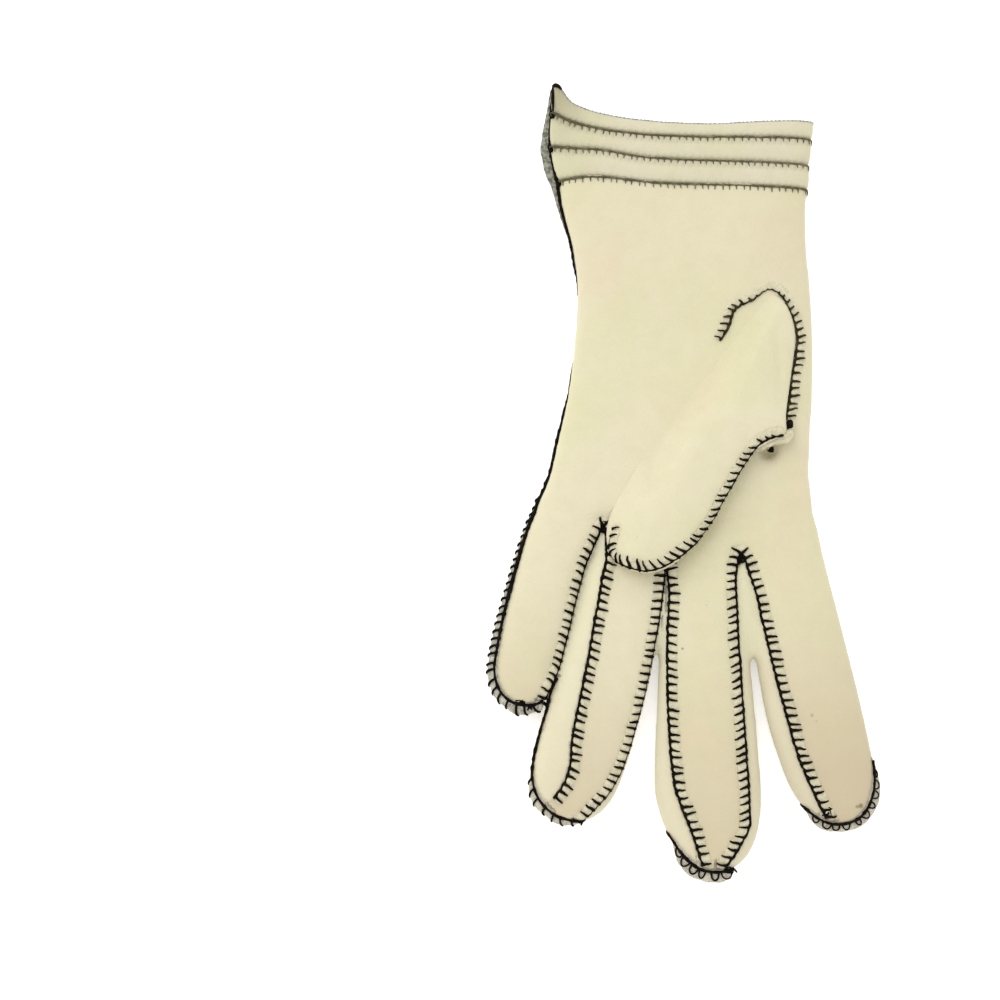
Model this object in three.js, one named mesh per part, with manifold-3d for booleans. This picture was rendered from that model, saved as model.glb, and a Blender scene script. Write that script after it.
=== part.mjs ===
// A hand-sewn driving glove for the left hand, lying empty on its back with the palm up.
// X runs across the palm, Y from the fingertips to the cuff, Z up from the surface it lies on.
// All sizes are millimetres.
import * as THREE from 'three';
import Module from 'manifold-3d';

const wasm = await Module();
wasm.setup();

// Driving dimensions of the cloth and of its seams.
const WALL = 1.2; // one layer of suede cloth
const SEAM_GAP = 0.3; // clearance between two sewn pieces
const LIP_WIDTH = 2.2; // the two raw edges of a seam, side by side
const LIP_RISE = 1.3; // how far the raw edges stand off the cloth
const LIP_ROOT = 1.1; // how far a seam's lips reach into the wall under them
const RIM_REACH = 2.3; // how far the raw edges stand out past a fingertip or the outer side
const RIM_LEVEL = 3.2; // height of those edges above the surface the glove lies on
const RIM_TAPER = 0.4; // share of that reach left where the edges start and end
const BACK_SEAM = 2.2; // height of the seam between a finger's side strip and its back
const BAND_STEP = 0.9; // how far a cuff band's lower edge stands over the cloth below it
const PEAK_SPREAD = 10; // how far the turned-up cuff corner reaches along the cuff
const EDGE_LEVEL = 0.42; // where an empty tube of cloth is widest, as a share of its height
const UNDER_TURN = 0.75; // how far in the underside starts to turn up, as a share of that level
const UNDER_BEND = 0.3; // how far that turn has gone at its middle point
const TIP_POWER = 2.3; // roundness of the fingertips, 2 being an ellipse
const FLOOR_SPREAD = 1.6; // draws the points of the underside towards the little-finger side
const ABOVE_ALL = 40; // higher than anything on the glove
const SLIVER = 0.04; // edges and bumps smaller than this are smoothed away after cutting

// The hand from the lowest cuff band to the knuckles: edges and height of the tube of cloth.
const HAND_ROWS = [
  { y: 94.4, left: -38.0, right: 40.6, height: 8.6 },
  { y: 86, left: -36.0, right: 40.2, height: 8.8 },
  { y: 76, left: -33.2, right: 40.2, height: 9.0 },
  { y: 64, left: -31.8, right: 41.0, height: 9.0 },
  { y: 52, left: -32.1, right: 41.6, height: 9.0 },
  { y: 39, left: -33.4, right: 41.6, height: 9.0 },
  { y: 26, left: -35.2, right: 41.0, height: 9.0 },
  { y: 13, left: -38.2, right: 40.0, height: 9.0 },
  { y: 1, left: -41.0, right: 39.6, height: 9.0 },
  { y: -8, left: -45.0, right: 40.6, height: 9.0 },
  { y: -14, left: -45.4, right: 40.6, height: 7.6 },
];

// The cuff's stitch lines and its edge. rise is how far a line climbs at the little-finger
// corner, lift how far it is turned up off the surface there, hump how far it bows up beside
// that corner, and fall its slope down towards the index side.
const CUFF_LINES = [
  { y: 95.5, rise: 0, lift: 0, hump: 1.8, fall: 0.028, left: -38.2, right: 41.0, height: 8.8 },
  { y: 103.2, rise: 3.0, lift: 3.0, hump: 2.0, fall: 0.028, left: -41.2, right: 41.4, height: 8.8 },
  { y: 111.0, rise: 8.5, lift: 6.0, hump: 1.0, fall: 0.028, left: -41.6, right: 42.4, height: 8.8 },
  { y: 115.6, rise: 12.3, lift: 8.0, hump: 0.6, fall: 0, left: -38.0, right: 43.2, height: 8.6 },
];
const HUMP_AT = -26; // middle of the lines' bow, across the cuff
const HUMP_SPREAD = 12;
const BAND_NAMES = ['cuff_band_lower', 'cuff_band_middle', 'cuff_band_top'];

// Each finger runs from root to tip. A row gives, at a distance along it, the body's two edges
// and the palm seams as offsets to the right of the finger's middle line, and its height. The
// first seam is the one towards the little finger. shoulder is where the tip starts to close.
const FINGERS = {
  little: {
    root: [-37.1, -14.7],
    tip: [-51.0, -69.4],
    shoulder: 44,
    rows: [
      { along: -16, left: -4.0, right: 14.0, height: 6.6, seamRight: 12.0 },
      { along: -4, left: -9.0, right: 14.0, height: 8.2, seamRight: 11.4 },
      { along: 4, left: -10.2, right: 10.8, height: 8.4, seamRight: 9.6 },
      { along: 12, left: -10.6, right: 9.2, height: 8.4, seamRight: 8.3 },
      { along: 30, left: -11.0, right: 9.1, height: 8.4, seamRight: 8.2 },
      { along: 44, left: -10.6, right: 8.8, height: 8.2, seamRight: 7.8 },
      { along: 58, left: -9.0, right: 8.0, height: 8.0, seamRight: 5.4 },
    ],
  },
  ring: {
    root: [-14.3, -21.0],
    tip: [-36.0, -104.4],
    shoulder: 68,
    rows: [
      { along: -19, left: -14.0, right: 14.0, height: 6.6, seamLeft: -11.0, seamRight: 9.8 },
      { along: -6, left: -14.6, right: 14.0, height: 8.6, seamLeft: -10.4, seamRight: 9.8 },
      { along: 2, left: -11.8, right: 10.4, height: 8.8, seamLeft: -9.0, seamRight: 9.2 },
      { along: 10, left: -13.0, right: 10.0, height: 8.8, seamLeft: -8.1, seamRight: 8.9 },
      { along: 20, left: -13.0, right: 11.2, height: 8.8, seamLeft: -7.4, seamRight: 10.0 },
      { along: 40, left: -13.4, right: 12.8, height: 8.8, seamLeft: -5.9, seamRight: 11.4 },
      { along: 60, left: -14.6, right: 12.8, height: 8.8, seamLeft: -5.3, seamRight: 11.2 },
      { along: 73, left: -14.6, right: 12.4, height: 8.8, seamLeft: -4.8, seamRight: 9.4 },
      { along: 86, left: -14.4, right: 12.2, height: 8.6, seamLeft: -10.0, seamRight: 2.2 },
    ],
  },
  middle: {
    root: [7.0, -23.5],
    tip: [8.8, -121.2],
    shoulder: 70,
    rows: [
      { along: -21, left: -15.0, right: 15.0, height: 6.8, seamLeft: -12.0, seamRight: 11.4 },
      { along: -8, left: -15.6, right: 15.4, height: 8.8, seamLeft: -12.0, seamRight: 11.4 },
      { along: 2, left: -12.4, right: 11.6, height: 9.0, seamLeft: -11.4, seamRight: 10.0 },
      { along: 10, left: -13.2, right: 11.8, height: 8.8, seamLeft: -11.4, seamRight: 9.0 },
      { along: 30, left: -14.6, right: 12.4, height: 8.8, seamLeft: -12.4, seamRight: 9.3 },
      { along: 50, left: -16.0, right: 13.4, height: 8.8, seamLeft: -12.5, seamRight: 10.1 },
      { along: 70, left: -17.2, right: 14.6, height: 8.8, seamLeft: -11.3, seamRight: 10.8 },
      { along: 84, left: -17.0, right: 14.4, height: 8.8, seamLeft: -6.6, seamRight: 9.8 },
      { along: 98, left: -17.0, right: 14.4, height: 8.8, seamLeft: -2.8, seamRight: 1.2 },
    ],
  },
  index: {
    root: [31.7, -21.6],
    tip: [48.6, -104.6],
    shoulder: 66,
    rows: [
      { along: -19, left: -15.0, right: 10.4, height: 6.8, seamLeft: -12.6 },
      { along: -6, left: -15.6, right: 11.4, height: 8.8, seamLeft: -12.8 },
      { along: 2, left: -13.0, right: 11.2, height: 9.0, seamLeft: -12.2 },
      { along: 10, left: -13.6, right: 11.4, height: 9.0, seamLeft: -11.8 },
      { along: 30, left: -15.4, right: 12.0, height: 9.0, seamLeft: -11.5 },
      { along: 50, left: -15.9, right: 12.4, height: 9.0, seamLeft: -10.6 },
      { along: 66, left: -14.6, right: 12.4, height: 9.0, seamLeft: -9.2 },
      { along: 84, left: -12.4, right: 12.2, height: 8.8, seamLeft: -5.4 },
    ],
  },
};

// The side strips between neighbouring fingers. crotch is the knot where their two seams meet,
// start and ends say where each seam runs along its finger, and beyond lists the points outside
// the fingertips that close the strip's outline.
const FOURCHETTES = [
  { name: 'fourchette_little_ring', from: 'little', to: 'ring', crotch: [-24.2, -13.6], start: 5,
    ends: [53, 84], beyond: [[-42.5, -76.5], [-56, -80], [-56, -104]] },
  { name: 'fourchette_ring_middle', from: 'ring', to: 'middle', crotch: [-5.2, -22.6], start: 5,
    ends: [85, 97], beyond: [[-26, -114], [-4, -130], [3, -130]] },
  { name: 'fourchette_middle_index', from: 'middle', to: 'index', crotch: [18.6, -21.6], start: 5,
    ends: [97, 83], beyond: [[11, -130], [22, -128], [38, -114]] },
];

// The thumb runs from the top of its hole to its tip, folded flat across the palm. base and
// top are the heights of its underside and of its crown. It opens out by start from a point
// at the offset heel, half as wide as point.
const THUMB = {
  root: [28.0, 60.6],
  tip: [-17.6, -28.6],
  shoulder: 82,
  start: 12,
  heel: 1.4,
  point: 0.6,
  rows: [
    { along: 0, left: -3.0, right: 12.0, base: 5.0, top: 11.6 },
    { along: 10, left: -4.8, right: 16.2, base: 5.0, top: 12.8 },
    { along: 22, left: -7.2, right: 20.2, base: 5.4, top: 14.0 },
    { along: 33, left: -8.2, right: 22.8, base: 6.2, top: 15.2 },
    { along: 40, left: -8.8, right: 25.4, base: 7.4, top: 16.0 },
    { along: 45, left: -9.2, right: 20.8, base: 8.4, top: 16.4 },
    { along: 50, left: -9.8, right: 17.8, base: 8.8, top: 16.6 },
    { along: 58, left: -10.4, right: 17.0, base: 9.0, top: 16.6 },
    { along: 72, left: -11.6, right: 16.2, base: 9.0, top: 16.6 },
    { along: 82, left: -12.4, right: 14.8, base: 9.0, top: 16.6 },
    { along: 100, left: -13.0, right: 13.0, base: 9.0, top: 16.0 },
  ],
};
// The hole through which the thumb opens into the hand.
const MOUTH = { from: 12, to: 37, floor: 5, ceiling: 10.8, inset: 3.2, steps: 6 };

// Colour of the cream suede cloth, a little warmer on the side strips.
const CLOTH = { trank: 0xe7dec2, thumb: 0xeae2c3, strip: 0xe0d5b2, cuff: 0xdcd4b6 };
const ROUGHNESS = 0.92;

// Monotone smooth value of one column of a table at a place along it.
function column(rows, key, field, at) {
  const last = rows.length - 1;
  let i = 0;
  while (i < last - 1 && (rows[i + 1][key] - at) * (rows[last][key] - rows[0][key]) < 0) i += 1;
  const a = rows[i];
  const b = rows[i + 1];
  const before = rows[Math.max(i - 1, 0)];
  const after = rows[Math.min(i + 2, last)];
  const span = b[key] - a[key];
  const t = THREE.MathUtils.clamp((at - a[key]) / span, 0, 1);
  const slopeA = (b[field] - before[field]) / (b[key] - before[key]) * span;
  const slopeB = (after[field] - a[field]) / (after[key] - a[key]) * span;
  const t2 = t * t;
  const t3 = t2 * t;
  return (2 * t3 - 3 * t2 + 1) * a[field] + (t3 - 2 * t2 + t) * slopeA
    + (3 * t2 - 2 * t3) * b[field] + (t3 - t2) * slopeB;
}

// Height of the upper side of an empty tube of cloth at share u of its half width.
function crownHeight(u, height, power) {
  const edge = EDGE_LEVEL * height;
  const inside = Math.max(1 - Math.abs(u) ** power, 0);
  return edge + (height - edge) * inside ** (1 / power);
}

// Cross-section of an empty tube of cloth lying flat: a crowned top over a flat underside,
// as pairs of offset and height, from the right edge over the top to the left and back.
function section(left, right, base, top, power, steps, floorSteps = 1) {
  const middle = (left + right) / 2;
  const half = (right - left) / 2;
  const height = top - base;
  const edge = EDGE_LEVEL * height;
  const loop = [];
  for (let i = 0; i <= steps; i += 1) {
    const angle = Math.PI * i / steps;
    const u = Math.sign(Math.cos(angle)) * Math.abs(Math.cos(angle)) ** (2 / power);
    loop.push([middle + half * u, base + crownHeight(u, height, power)]);
  }
  const turn = Math.min(edge, half) * UNDER_TURN;
  const bend = edge * UNDER_BEND;
  loop.push([left + turn * UNDER_BEND, base + bend]);
  for (let i = 0; i <= floorSteps; i += 1) {
    const across = (i / floorSteps) ** FLOOR_SPREAD;
    loop.push([THREE.MathUtils.lerp(left + turn, right - turn, across), base]);
  }
  loop.push([right - turn * UNDER_BEND, base + bend]);
  return loop;
}

// Closed solid of a list of vertices and triangles, turned the right way out.
function solid(positions, triangles) {
  const build = (tris) => new wasm.Manifold(new wasm.Mesh({
    numProp: 3,
    vertProperties: Float32Array.from(positions),
    triVerts: Uint32Array.from(tris),
  }));
  const result = build(triangles);
  if (result.volume() > 0) return result;
  const flipped = [];
  for (let i = 0; i < triangles.length; i += 3) {
    flipped.push(triangles[i], triangles[i + 2], triangles[i + 1]);
  }
  return build(flipped);
}

// Triangles of the skin over rings of equal length, one ring to the next.
function skin(rings) {
  const count = rings[0].length;
  const positions = rings.flat().flatMap((p) => [p.x, p.y, p.z]);
  const triangles = [];
  for (let r = 0; r < rings.length - 1; r += 1) {
    for (let i = 0; i < count; i += 1) {
      const a = r * count + i;
      const b = r * count + (i + 1) % count;
      triangles.push(a, b, a + count, b, b + count, a + count);
    }
  }
  return { count, positions, triangles };
}

// Solid over rings that come back to the first one, such as a band with its inside.
function closedLoft(rings) {
  const { positions, triangles } = skin([...rings, rings[0]]);
  const spare = rings[0].length * 3;
  const last = positions.length / 3 - rings[0].length;
  const closed = triangles.map((i) => (i >= last ? i - last : i));
  return solid(positions.slice(0, -spare), closed);
}

// Solid over rings, each end closed by a fan round its middle.
function loft(rings) {
  const { count, positions, triangles } = skin(rings);
  for (const r of [0, rings.length - 1]) {
    const middle = new THREE.Vector3();
    rings[r].forEach((p) => middle.addScaledVector(p, 1 / count));
    const centre = positions.length / 3;
    positions.push(middle.x, middle.y, middle.z);
    for (let i = 0; i < count; i += 1) {
      const a = r * count + i;
      const b = r * count + (i + 1) % count;
      triangles.push(...(r === 0 ? [centre, b, a] : [centre, a, b]));
    }
  }
  return solid(positions, triangles);
}

// Solid swept along a path of frames, each a point with a sideways and a rising direction.
function sweep(frames, profile) {
  return loft(frames.map(({ at, side, rise }) => profile.map(([s, r]) => (
    at.clone().addScaledVector(side, s).addScaledVector(rise, r)
  ))));
}

// Vertical prism over an outline in plan.
function prism(outline, floor, ceiling) {
  const area = THREE.ShapeUtils.area(outline.map(([x, y]) => ({ x, y })));
  const plan = area > 0 ? outline : [...outline].reverse();
  const corners = plan.map(([x, y]) => new THREE.Vector2(x, y));
  const faces = THREE.ShapeUtils.triangulateShape(corners, []);
  const count = plan.length;
  const positions = [floor, ceiling].flatMap((z) => plan.flatMap(([x, y]) => [x, y, z]));
  const triangles = faces.flatMap(([a, b, c]) => [a, c, b, a + count, b + count, c + count]);
  for (let i = 0; i < count; i += 1) {
    const j = (i + 1) % count;
    triangles.push(i, j, i + count, j, j + count, i + count);
  }
  return solid(positions, triangles);
}

const join = (parts) => parts.reduce((whole, part) => whole.add(part));

// Cross-section of a seam's two raw edges, rounded on top from LIP_SHOULDER of their rise.
const LIP_SHOULDER = 0.6;
const LIP_PROFILE = [
  [-LIP_WIDTH / 2, -LIP_ROOT],
  [LIP_WIDTH / 2, -LIP_ROOT],
  [LIP_WIDTH / 2, LIP_RISE * LIP_SHOULDER],
  [LIP_WIDTH / 4, LIP_RISE],
  [-LIP_WIDTH / 4, LIP_RISE],
  [-LIP_WIDTH / 2, LIP_RISE * LIP_SHOULDER],
];

// Cross-section of the raw edges where they stand out flat past an edge of the body.
const RIM_SHOULDER = 0.75;
const RIM_PROFILE = [
  [-LIP_WIDTH / 2, -LIP_ROOT],
  [LIP_WIDTH / 2, -LIP_ROOT],
  [LIP_WIDTH / 2, RIM_REACH * RIM_SHOULDER],
  [0, RIM_REACH],
  [-LIP_WIDTH / 2, RIM_REACH * RIM_SHOULDER],
];

const UP = new THREE.Vector3(0, 0, 1);

// Frames for a seam standing up from a path on the cloth.
function standing(points) {
  return points.map((at, i) => {
    const ahead = points[Math.min(i + 1, points.length - 1)];
    const behind = points[Math.max(i - 1, 0)];
    const along = ahead.clone().sub(behind).setZ(0).normalize();
    return { at, side: new THREE.Vector3(along.y, -along.x, 0), rise: UP };
  });
}

// Frames for raw edges that stand outwards from a path round the body, lower at both ends.
function outstanding(points) {
  return standing(points).map(({ at, side }, i) => {
    const atEnd = i === 0 || i === points.length - 1;
    return { at, side: UP, rise: side.clone().multiplyScalar(atEnd ? -RIM_TAPER : -1) };
  });
}

// A finger or the thumb as a straight axis with its directions along and across.
function limb(spec) {
  const root = new THREE.Vector3(...spec.root, 0);
  const tip = new THREE.Vector3(...spec.tip, 0);
  const along = tip.clone().sub(root);
  const length = along.length();
  along.normalize();
  return { ...spec, origin: root, along, across: new THREE.Vector3(-along.y, along.x, 0), length };
}

function place(body, distance, offset, z) {
  const p = body.origin.clone().addScaledVector(body.along, distance);
  return p.addScaledVector(body.across, offset).setZ(z);
}

// Share of the full width that is left at a distance along, as the tip closes.
function closing(body, distance) {
  const into = (distance - body.shoulder) / (body.length - body.shoulder);
  if (into <= 0) return 1;
  return Math.max(1 - Math.min(into, 1) ** TIP_POWER, 0) ** (1 / TIP_POWER);
}

// Edges of a finger's body, drawn in to its middle line as the tip closes.
function edges(body, distance) {
  const share = closing(body, distance);
  const left = column(body.rows, 'along', 'left', distance);
  const right = column(body.rows, 'along', 'right', distance);
  const middle = (left + right) / 2;
  const settled = THREE.MathUtils.lerp(0, middle, share);
  const half = (right - left) / 2 * share;
  return { left: settled - half, right: settled + half, share };
}

// Distances at which sections are taken: even along the body, closer where the tip rounds.
function stations(body, start, steps, tipSteps) {
  const list = [];
  for (let i = 0; i < steps; i += 1) {
    list.push(THREE.MathUtils.lerp(start, body.shoulder, i / steps));
  }
  for (let i = 0; i <= tipSteps; i += 1) {
    const angle = Math.PI / 2 * i / (tipSteps + TIP_STOP);
    list.push(THREE.MathUtils.lerp(body.shoulder, body.length, Math.sin(angle)));
  }
  return list;
}

const FINGER_POWER = 2.5;
const HAND_POWER = 3.4;
const FINGER_ARC = 9;
const HAND_ARC = 14;
const HAND_FLOOR = 8;
const TIP_FLATNESS = 0.62; // share of its height that a fingertip keeps
const TIP_STOP = 0.35; // part of a step by which the last section stays short of the tip
const TIP_INSET = 0.6; // extra inset of the hollow where the tip closes, as a share of the wall
const NARROWEST = 0.5; // least half width of a section

function fingerHeight(body, distance, share) {
  return column(body.rows, 'along', 'height', distance)
    * THREE.MathUtils.lerp(TIP_FLATNESS, 1, Math.sqrt(share));
}

// Outer or, with an inset, inner surface of a finger.
function fingerSolid(body, inset) {
  const rings = stations(body, body.rows[0].along, 7, 4).map((distance) => {
    const { left, right, share } = edges(body, distance);
    const squeeze = inset * (1 + (1 - share) * TIP_INSET);
    const distanceIn = distance > body.shoulder
      ? body.shoulder + (distance - body.shoulder) * (1 - squeeze / (body.length - body.shoulder))
      : distance;
    const half = Math.max((right - left) / 2 - inset, NARROWEST);
    const middle = (left + right) / 2;
    const top = fingerHeight(body, distance, share) - inset;
    return section(middle - half, middle + half, inset, top, FINGER_POWER, FINGER_ARC)
      .map(([offset, z]) => place(body, distanceIn, offset, z));
  });
  return loft(rings);
}

// Upper surface of a finger at an offset from its middle line.
function fingerTop(body, distance, offset) {
  const { left, right, share } = edges(body, distance);
  const u = THREE.MathUtils.clamp((offset - (left + right) / 2) / ((right - left) / 2), -1, 1);
  return crownHeight(u, fingerHeight(body, distance, share), FINGER_POWER);
}

// How far a row of the cuff lies above its own y at a place across it.
function climb(row, x) {
  const corner = Math.exp(-(x - row.left) / PEAK_SPREAD);
  const bow = Math.exp(-(((x - HUMP_AT) / HUMP_SPREAD) ** 2));
  return row.rise * corner + row.hump * bow - row.fall * x;
}

// One ring of the hand or the cuff. The cuff's rows climb, and their little-finger corner is
// turned up by lift, which dies away across the glove.
function handRing(row, inset, swell) {
  const left = row.left - swell * 0.5 + inset;
  const right = row.right + swell * 0.5 - inset;
  const top = row.height + swell - inset;
  const loop = section(left, right, inset, top, HAND_POWER, HAND_ARC, HAND_FLOOR);
  if (row.lift === undefined) return loop.map(([x, z]) => new THREE.Vector3(x, row.y, z));
  return loop.map(([x, z]) => {
    const lifted = row.lift * Math.exp(-(x - row.left) / PEAK_SPREAD);
    return new THREE.Vector3(x, row.y + climb(row, x), z + lifted);
  });
}

const handRow = (y) => ({
  y,
  left: column(HAND_ROWS, 'y', 'left', y),
  right: column(HAND_ROWS, 'y', 'right', y),
  height: column(HAND_ROWS, 'y', 'height', y),
});

// Upper surface of the palm at a point in plan.
function palmTop(x, y) {
  const row = handRow(y);
  const half = (row.right - row.left) / 2;
  const u = THREE.MathUtils.clamp((x - (row.left + row.right) / 2) / half, -1, 1);
  return crownHeight(u, row.height, HAND_POWER);
}

// The hand's top end is drawn past the stitch line that it meets, and cut off along it.
const handEnd = { ...CUFF_LINES[0], ...HAND_ROWS[0], y: CUFF_LINES[0].y - SEAM_GAP };
const handRows = [handEnd, ...HAND_ROWS.slice(1)];
const END_STEPS = 24;
const fingers = Object.fromEntries(
  Object.entries(FINGERS).map(([name, spec]) => [name, limb(spec)]),
);

// The hand is drawn past its top end by this much, and its hollow by twice as much.
const OVERRUN = 4;

const beyondEnd = (row, by) => ({ ...row, y: row.y + by });

function handSolid(inset, overrun) {
  const rows = [beyondEnd(handEnd, overrun), ...handRows];
  return loft(rows.map((row) => handRing(row, inset, 0)));
}

// Everything past the hand's top end.
function pastEnd() {
  const plan = [];
  for (let i = 0; i <= END_STEPS; i += 1) {
    const x = THREE.MathUtils.lerp(2 * handEnd.left, 2 * handEnd.right, i / END_STEPS);
    plan.push([x, handEnd.y + climb(handEnd, x)]);
  }
  const far = handEnd.y + ABOVE_ALL;
  return prism([...plan, [2 * handEnd.right, far], [2 * handEnd.left, far]], -ABOVE_ALL, ABOVE_ALL);
}

// Palm seam of a finger on the side given, as points on the cloth, root to tip.
function seamPath(body, field, from, to, steps, shift = 0) {
  const points = [];
  for (let i = 0; i <= steps; i += 1) {
    const distance = THREE.MathUtils.lerp(from, to, i / steps);
    const offset = column(body.rows, 'along', field, distance);
    const seated = Math.min(distance, body.length - NARROWEST);
    points.push(place(body, distance, offset + shift, fingerTop(body, seated, offset)));
  }
  return points;
}

const SEAM_STEPS = 11;

// Outline in plan of the ground between two fingers' palm seams.
function stripOutline(strip, shift) {
  const left = seamPath(fingers[strip.from], 'seamRight', strip.start, strip.ends[0], SEAM_STEPS, -shift);
  const right = seamPath(fingers[strip.to], 'seamLeft', strip.start, strip.ends[1], SEAM_STEPS, shift);
  const plan = ({ x, y }) => [x, y];
  return [
    [strip.crotch[0], strip.crotch[1] + shift],
    ...left.map(plan),
    ...strip.beyond,
    ...right.map(plan).reverse(),
  ];
}

// Raised lips along both palm seams of a side strip, meeting at the knot between the fingers,
// which stands up to KNOT_RISE above the seams' starts.
const KNOT_RISE = 1;

function stripLips(strip) {
  const knot = new THREE.Vector3(...strip.crotch, 0);
  const sides = [[strip.from, 'seamRight', 0], [strip.to, 'seamLeft', 1]];
  return join(sides.map(([finger, field, end]) => {
    const path = seamPath(fingers[finger], field, strip.start, strip.ends[end], SEAM_STEPS);
    const first = path[0];
    knot.setZ(Math.min(first.z + KNOT_RISE, palmTop(knot.x, knot.y)));
    return sweep(standing([knot.clone(), ...path]), LIP_PROFILE);
  }));
}

// Path round a fingertip, from one distance on its left side to another on its right.
function tipPath(body, fromLeft, toRight, steps) {
  const first = Math.acos(closing(body, fromLeft));
  const last = Math.PI - Math.acos(closing(body, toRight));
  const points = [];
  if (fromLeft < body.shoulder) {
    points.push(place(body, fromLeft, edges(body, fromLeft).left, RIM_LEVEL));
  }
  for (let i = 0; i <= steps; i += 1) {
    const side = Math.cos(THREE.MathUtils.lerp(first, last, i / steps));
    const share = Math.min(Math.abs(side), 1);
    const into = (1 - share ** TIP_POWER) ** (1 / TIP_POWER);
    const distance = THREE.MathUtils.lerp(body.shoulder, body.length, into);
    const { left, right } = edges(body, distance);
    points.push(place(body, distance, side > 0 ? left : right, RIM_LEVEL));
  }
  if (toRight < body.shoulder) {
    points.push(place(body, toRight, edges(body, toRight).right, RIM_LEVEL));
  }
  return points;
}

// Raw edges of the outer side seam, from the cuff to the little finger.
const OUTSEAM = { from: 90, to: -9, steps: 12, tuck: 1.6, tuckFrom: 64, tuckTo: 24 };

function outseamPath() {
  const points = [];
  for (let i = 0; i <= OUTSEAM.steps; i += 1) {
    const y = THREE.MathUtils.lerp(OUTSEAM.from, OUTSEAM.to, i / OUTSEAM.steps);
    const hidden = y < OUTSEAM.tuckFrom && y > OUTSEAM.tuckTo;
    points.push(new THREE.Vector3(handRow(y).left + (hidden ? OUTSEAM.tuck : 0), y, RIM_LEVEL));
  }
  return points;
}

const thumb = limb(THUMB);
const THUMB_SECTIONS = { heel: [0.02, 0.15, 0.45], body: 7, tip: 5 };
const THUMB_INSET = 1.3; // inset of the thumb's hollow at its ends, as a share of the wall
const THUMB_FLATNESS = 0.3; // least share of its height that the thumb's root keeps

// Edges of the thumb's body, opening out from its heel and closing again at its tip.
function thumbEdges(distance) {
  const { left, right, share } = edges(thumb, distance);
  const into = THREE.MathUtils.clamp(distance / thumb.start, 0, 1);
  const opening = (1 - (1 - into) ** TIP_POWER) ** (1 / TIP_POWER);
  return {
    left: THREE.MathUtils.lerp(thumb.heel - thumb.point, left, opening),
    right: THREE.MathUtils.lerp(thumb.heel + thumb.point, right, opening),
    share: Math.min(share, Math.max(opening, THUMB_FLATNESS)),
  };
}

// Outer or, with an inset, inner surface of the thumb.
function thumbLoft(inset) {
  const body = stations(thumb, thumb.start, THUMB_SECTIONS.body, THUMB_SECTIONS.tip);
  const heel = THUMB_SECTIONS.heel.map((share) => share * thumb.start);
  const all = [...heel, ...body];
  return loft(all.map((distance) => {
    const { left, right, share } = thumbEdges(distance);
    const base = column(thumb.rows, 'along', 'base', distance);
    const crown = column(thumb.rows, 'along', 'top', distance);
    const top = base + (crown - base) * THREE.MathUtils.lerp(TIP_FLATNESS, 1, Math.sqrt(share));
    const end = inset * THUMB_INSET;
    const squeezed = THREE.MathUtils.mapLinear(distance, 0, thumb.length, end, thumb.length - end);
    const half = Math.max((right - left) / 2 - inset, NARROWEST);
    const middle = (left + right) / 2;
    return section(middle - half, middle + half, base + inset, top - inset, FINGER_POWER, FINGER_ARC)
      .map(([offset, z]) => place(thumb, squeezed, offset, z));
  }));
}

// Way from the hand into the thumb, as wide as the thumb's hollow.
function thumbMouth() {
  const rings = [];
  for (let i = 0; i <= MOUTH.steps; i += 1) {
    const distance = THREE.MathUtils.lerp(MOUTH.from, MOUTH.to, i / MOUTH.steps);
    const edge = thumbEdges(distance);
    const left = edge.left + MOUTH.inset;
    const right = edge.right - MOUTH.inset;
    const { floor, ceiling } = MOUTH;
    rings.push([[left, floor], [right, floor], [right, ceiling], [left, ceiling]]
      .map(([offset, z]) => place(thumb, distance, offset, z)));
  }
  return loft(rings);
}

// Raised lips of the palm round the thumb hole, just outside the thumb. The first part of the
// path, leftPart of it, comes up the thumb's left side to its heel, and crowding draws its
// points together there.
const HOLE_LIP = { fromLeft: 20, toRight: 41, steps: 13, leftPart: 0.35, crowding: 1.6 };

function holePath(clear) {
  const points = [];
  for (let i = 0; i <= HOLE_LIP.steps; i += 1) {
    const t = i / HOLE_LIP.steps;
    const turn = HOLE_LIP.leftPart;
    const onLeft = t < turn;
    const run = onLeft ? 1 - t / turn : (t - turn) / (1 - turn);
    const distance = (onLeft ? HOLE_LIP.fromLeft : HOLE_LIP.toRight) * run ** HOLE_LIP.crowding;
    const { left, right } = thumbEdges(distance);
    const offset = onLeft ? left - clear : right + clear;
    const p = place(thumb, distance - clear * (1 - run), offset, 0);
    points.push(p.setZ(palmTop(p.x, p.y)));
  }
  return points;
}

// Raised lips of the thumb's own seam, just inside its edge from the knot down the right side,
// which takes rightPart of the path, and round the tip. seat keeps them off the edge's drop.
const THUMB_LIP = {
  from: 44, inside: LIP_WIDTH / 2 + 0.2, steps: 13, rightPart: 0.8, endLeft: 88, seat: 0.95,
};

function thumbSeamPath() {
  const points = [];
  for (let i = 0; i <= THUMB_LIP.steps; i += 1) {
    const t = i / THUMB_LIP.steps;
    const turn = THUMB_LIP.rightPart;
    const onRight = t < turn;
    const run = onRight ? Math.sin(t / turn * Math.PI / 2) : (t - turn) / (1 - turn);
    const reach = thumb.length - THUMB_LIP.inside;
    const distance = onRight
      ? THREE.MathUtils.lerp(THUMB_LIP.from, reach, run)
      : THREE.MathUtils.lerp(reach, THUMB_LIP.endLeft, run);
    const { left, right } = thumbEdges(distance);
    const room = Math.min(THUMB_LIP.inside, (right - left) / 2);
    const offset = onRight ? right - room : left + room;
    const base = column(thumb.rows, 'along', 'base', distance);
    const crown = column(thumb.rows, 'along', 'top', distance);
    const u = (offset - (left + right) / 2) / ((right - left) / 2) * THUMB_LIP.seat;
    points.push(place(thumb, distance, offset, base + crownHeight(u, crown - base, FINGER_POWER)));
  }
  return points;
}

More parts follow.
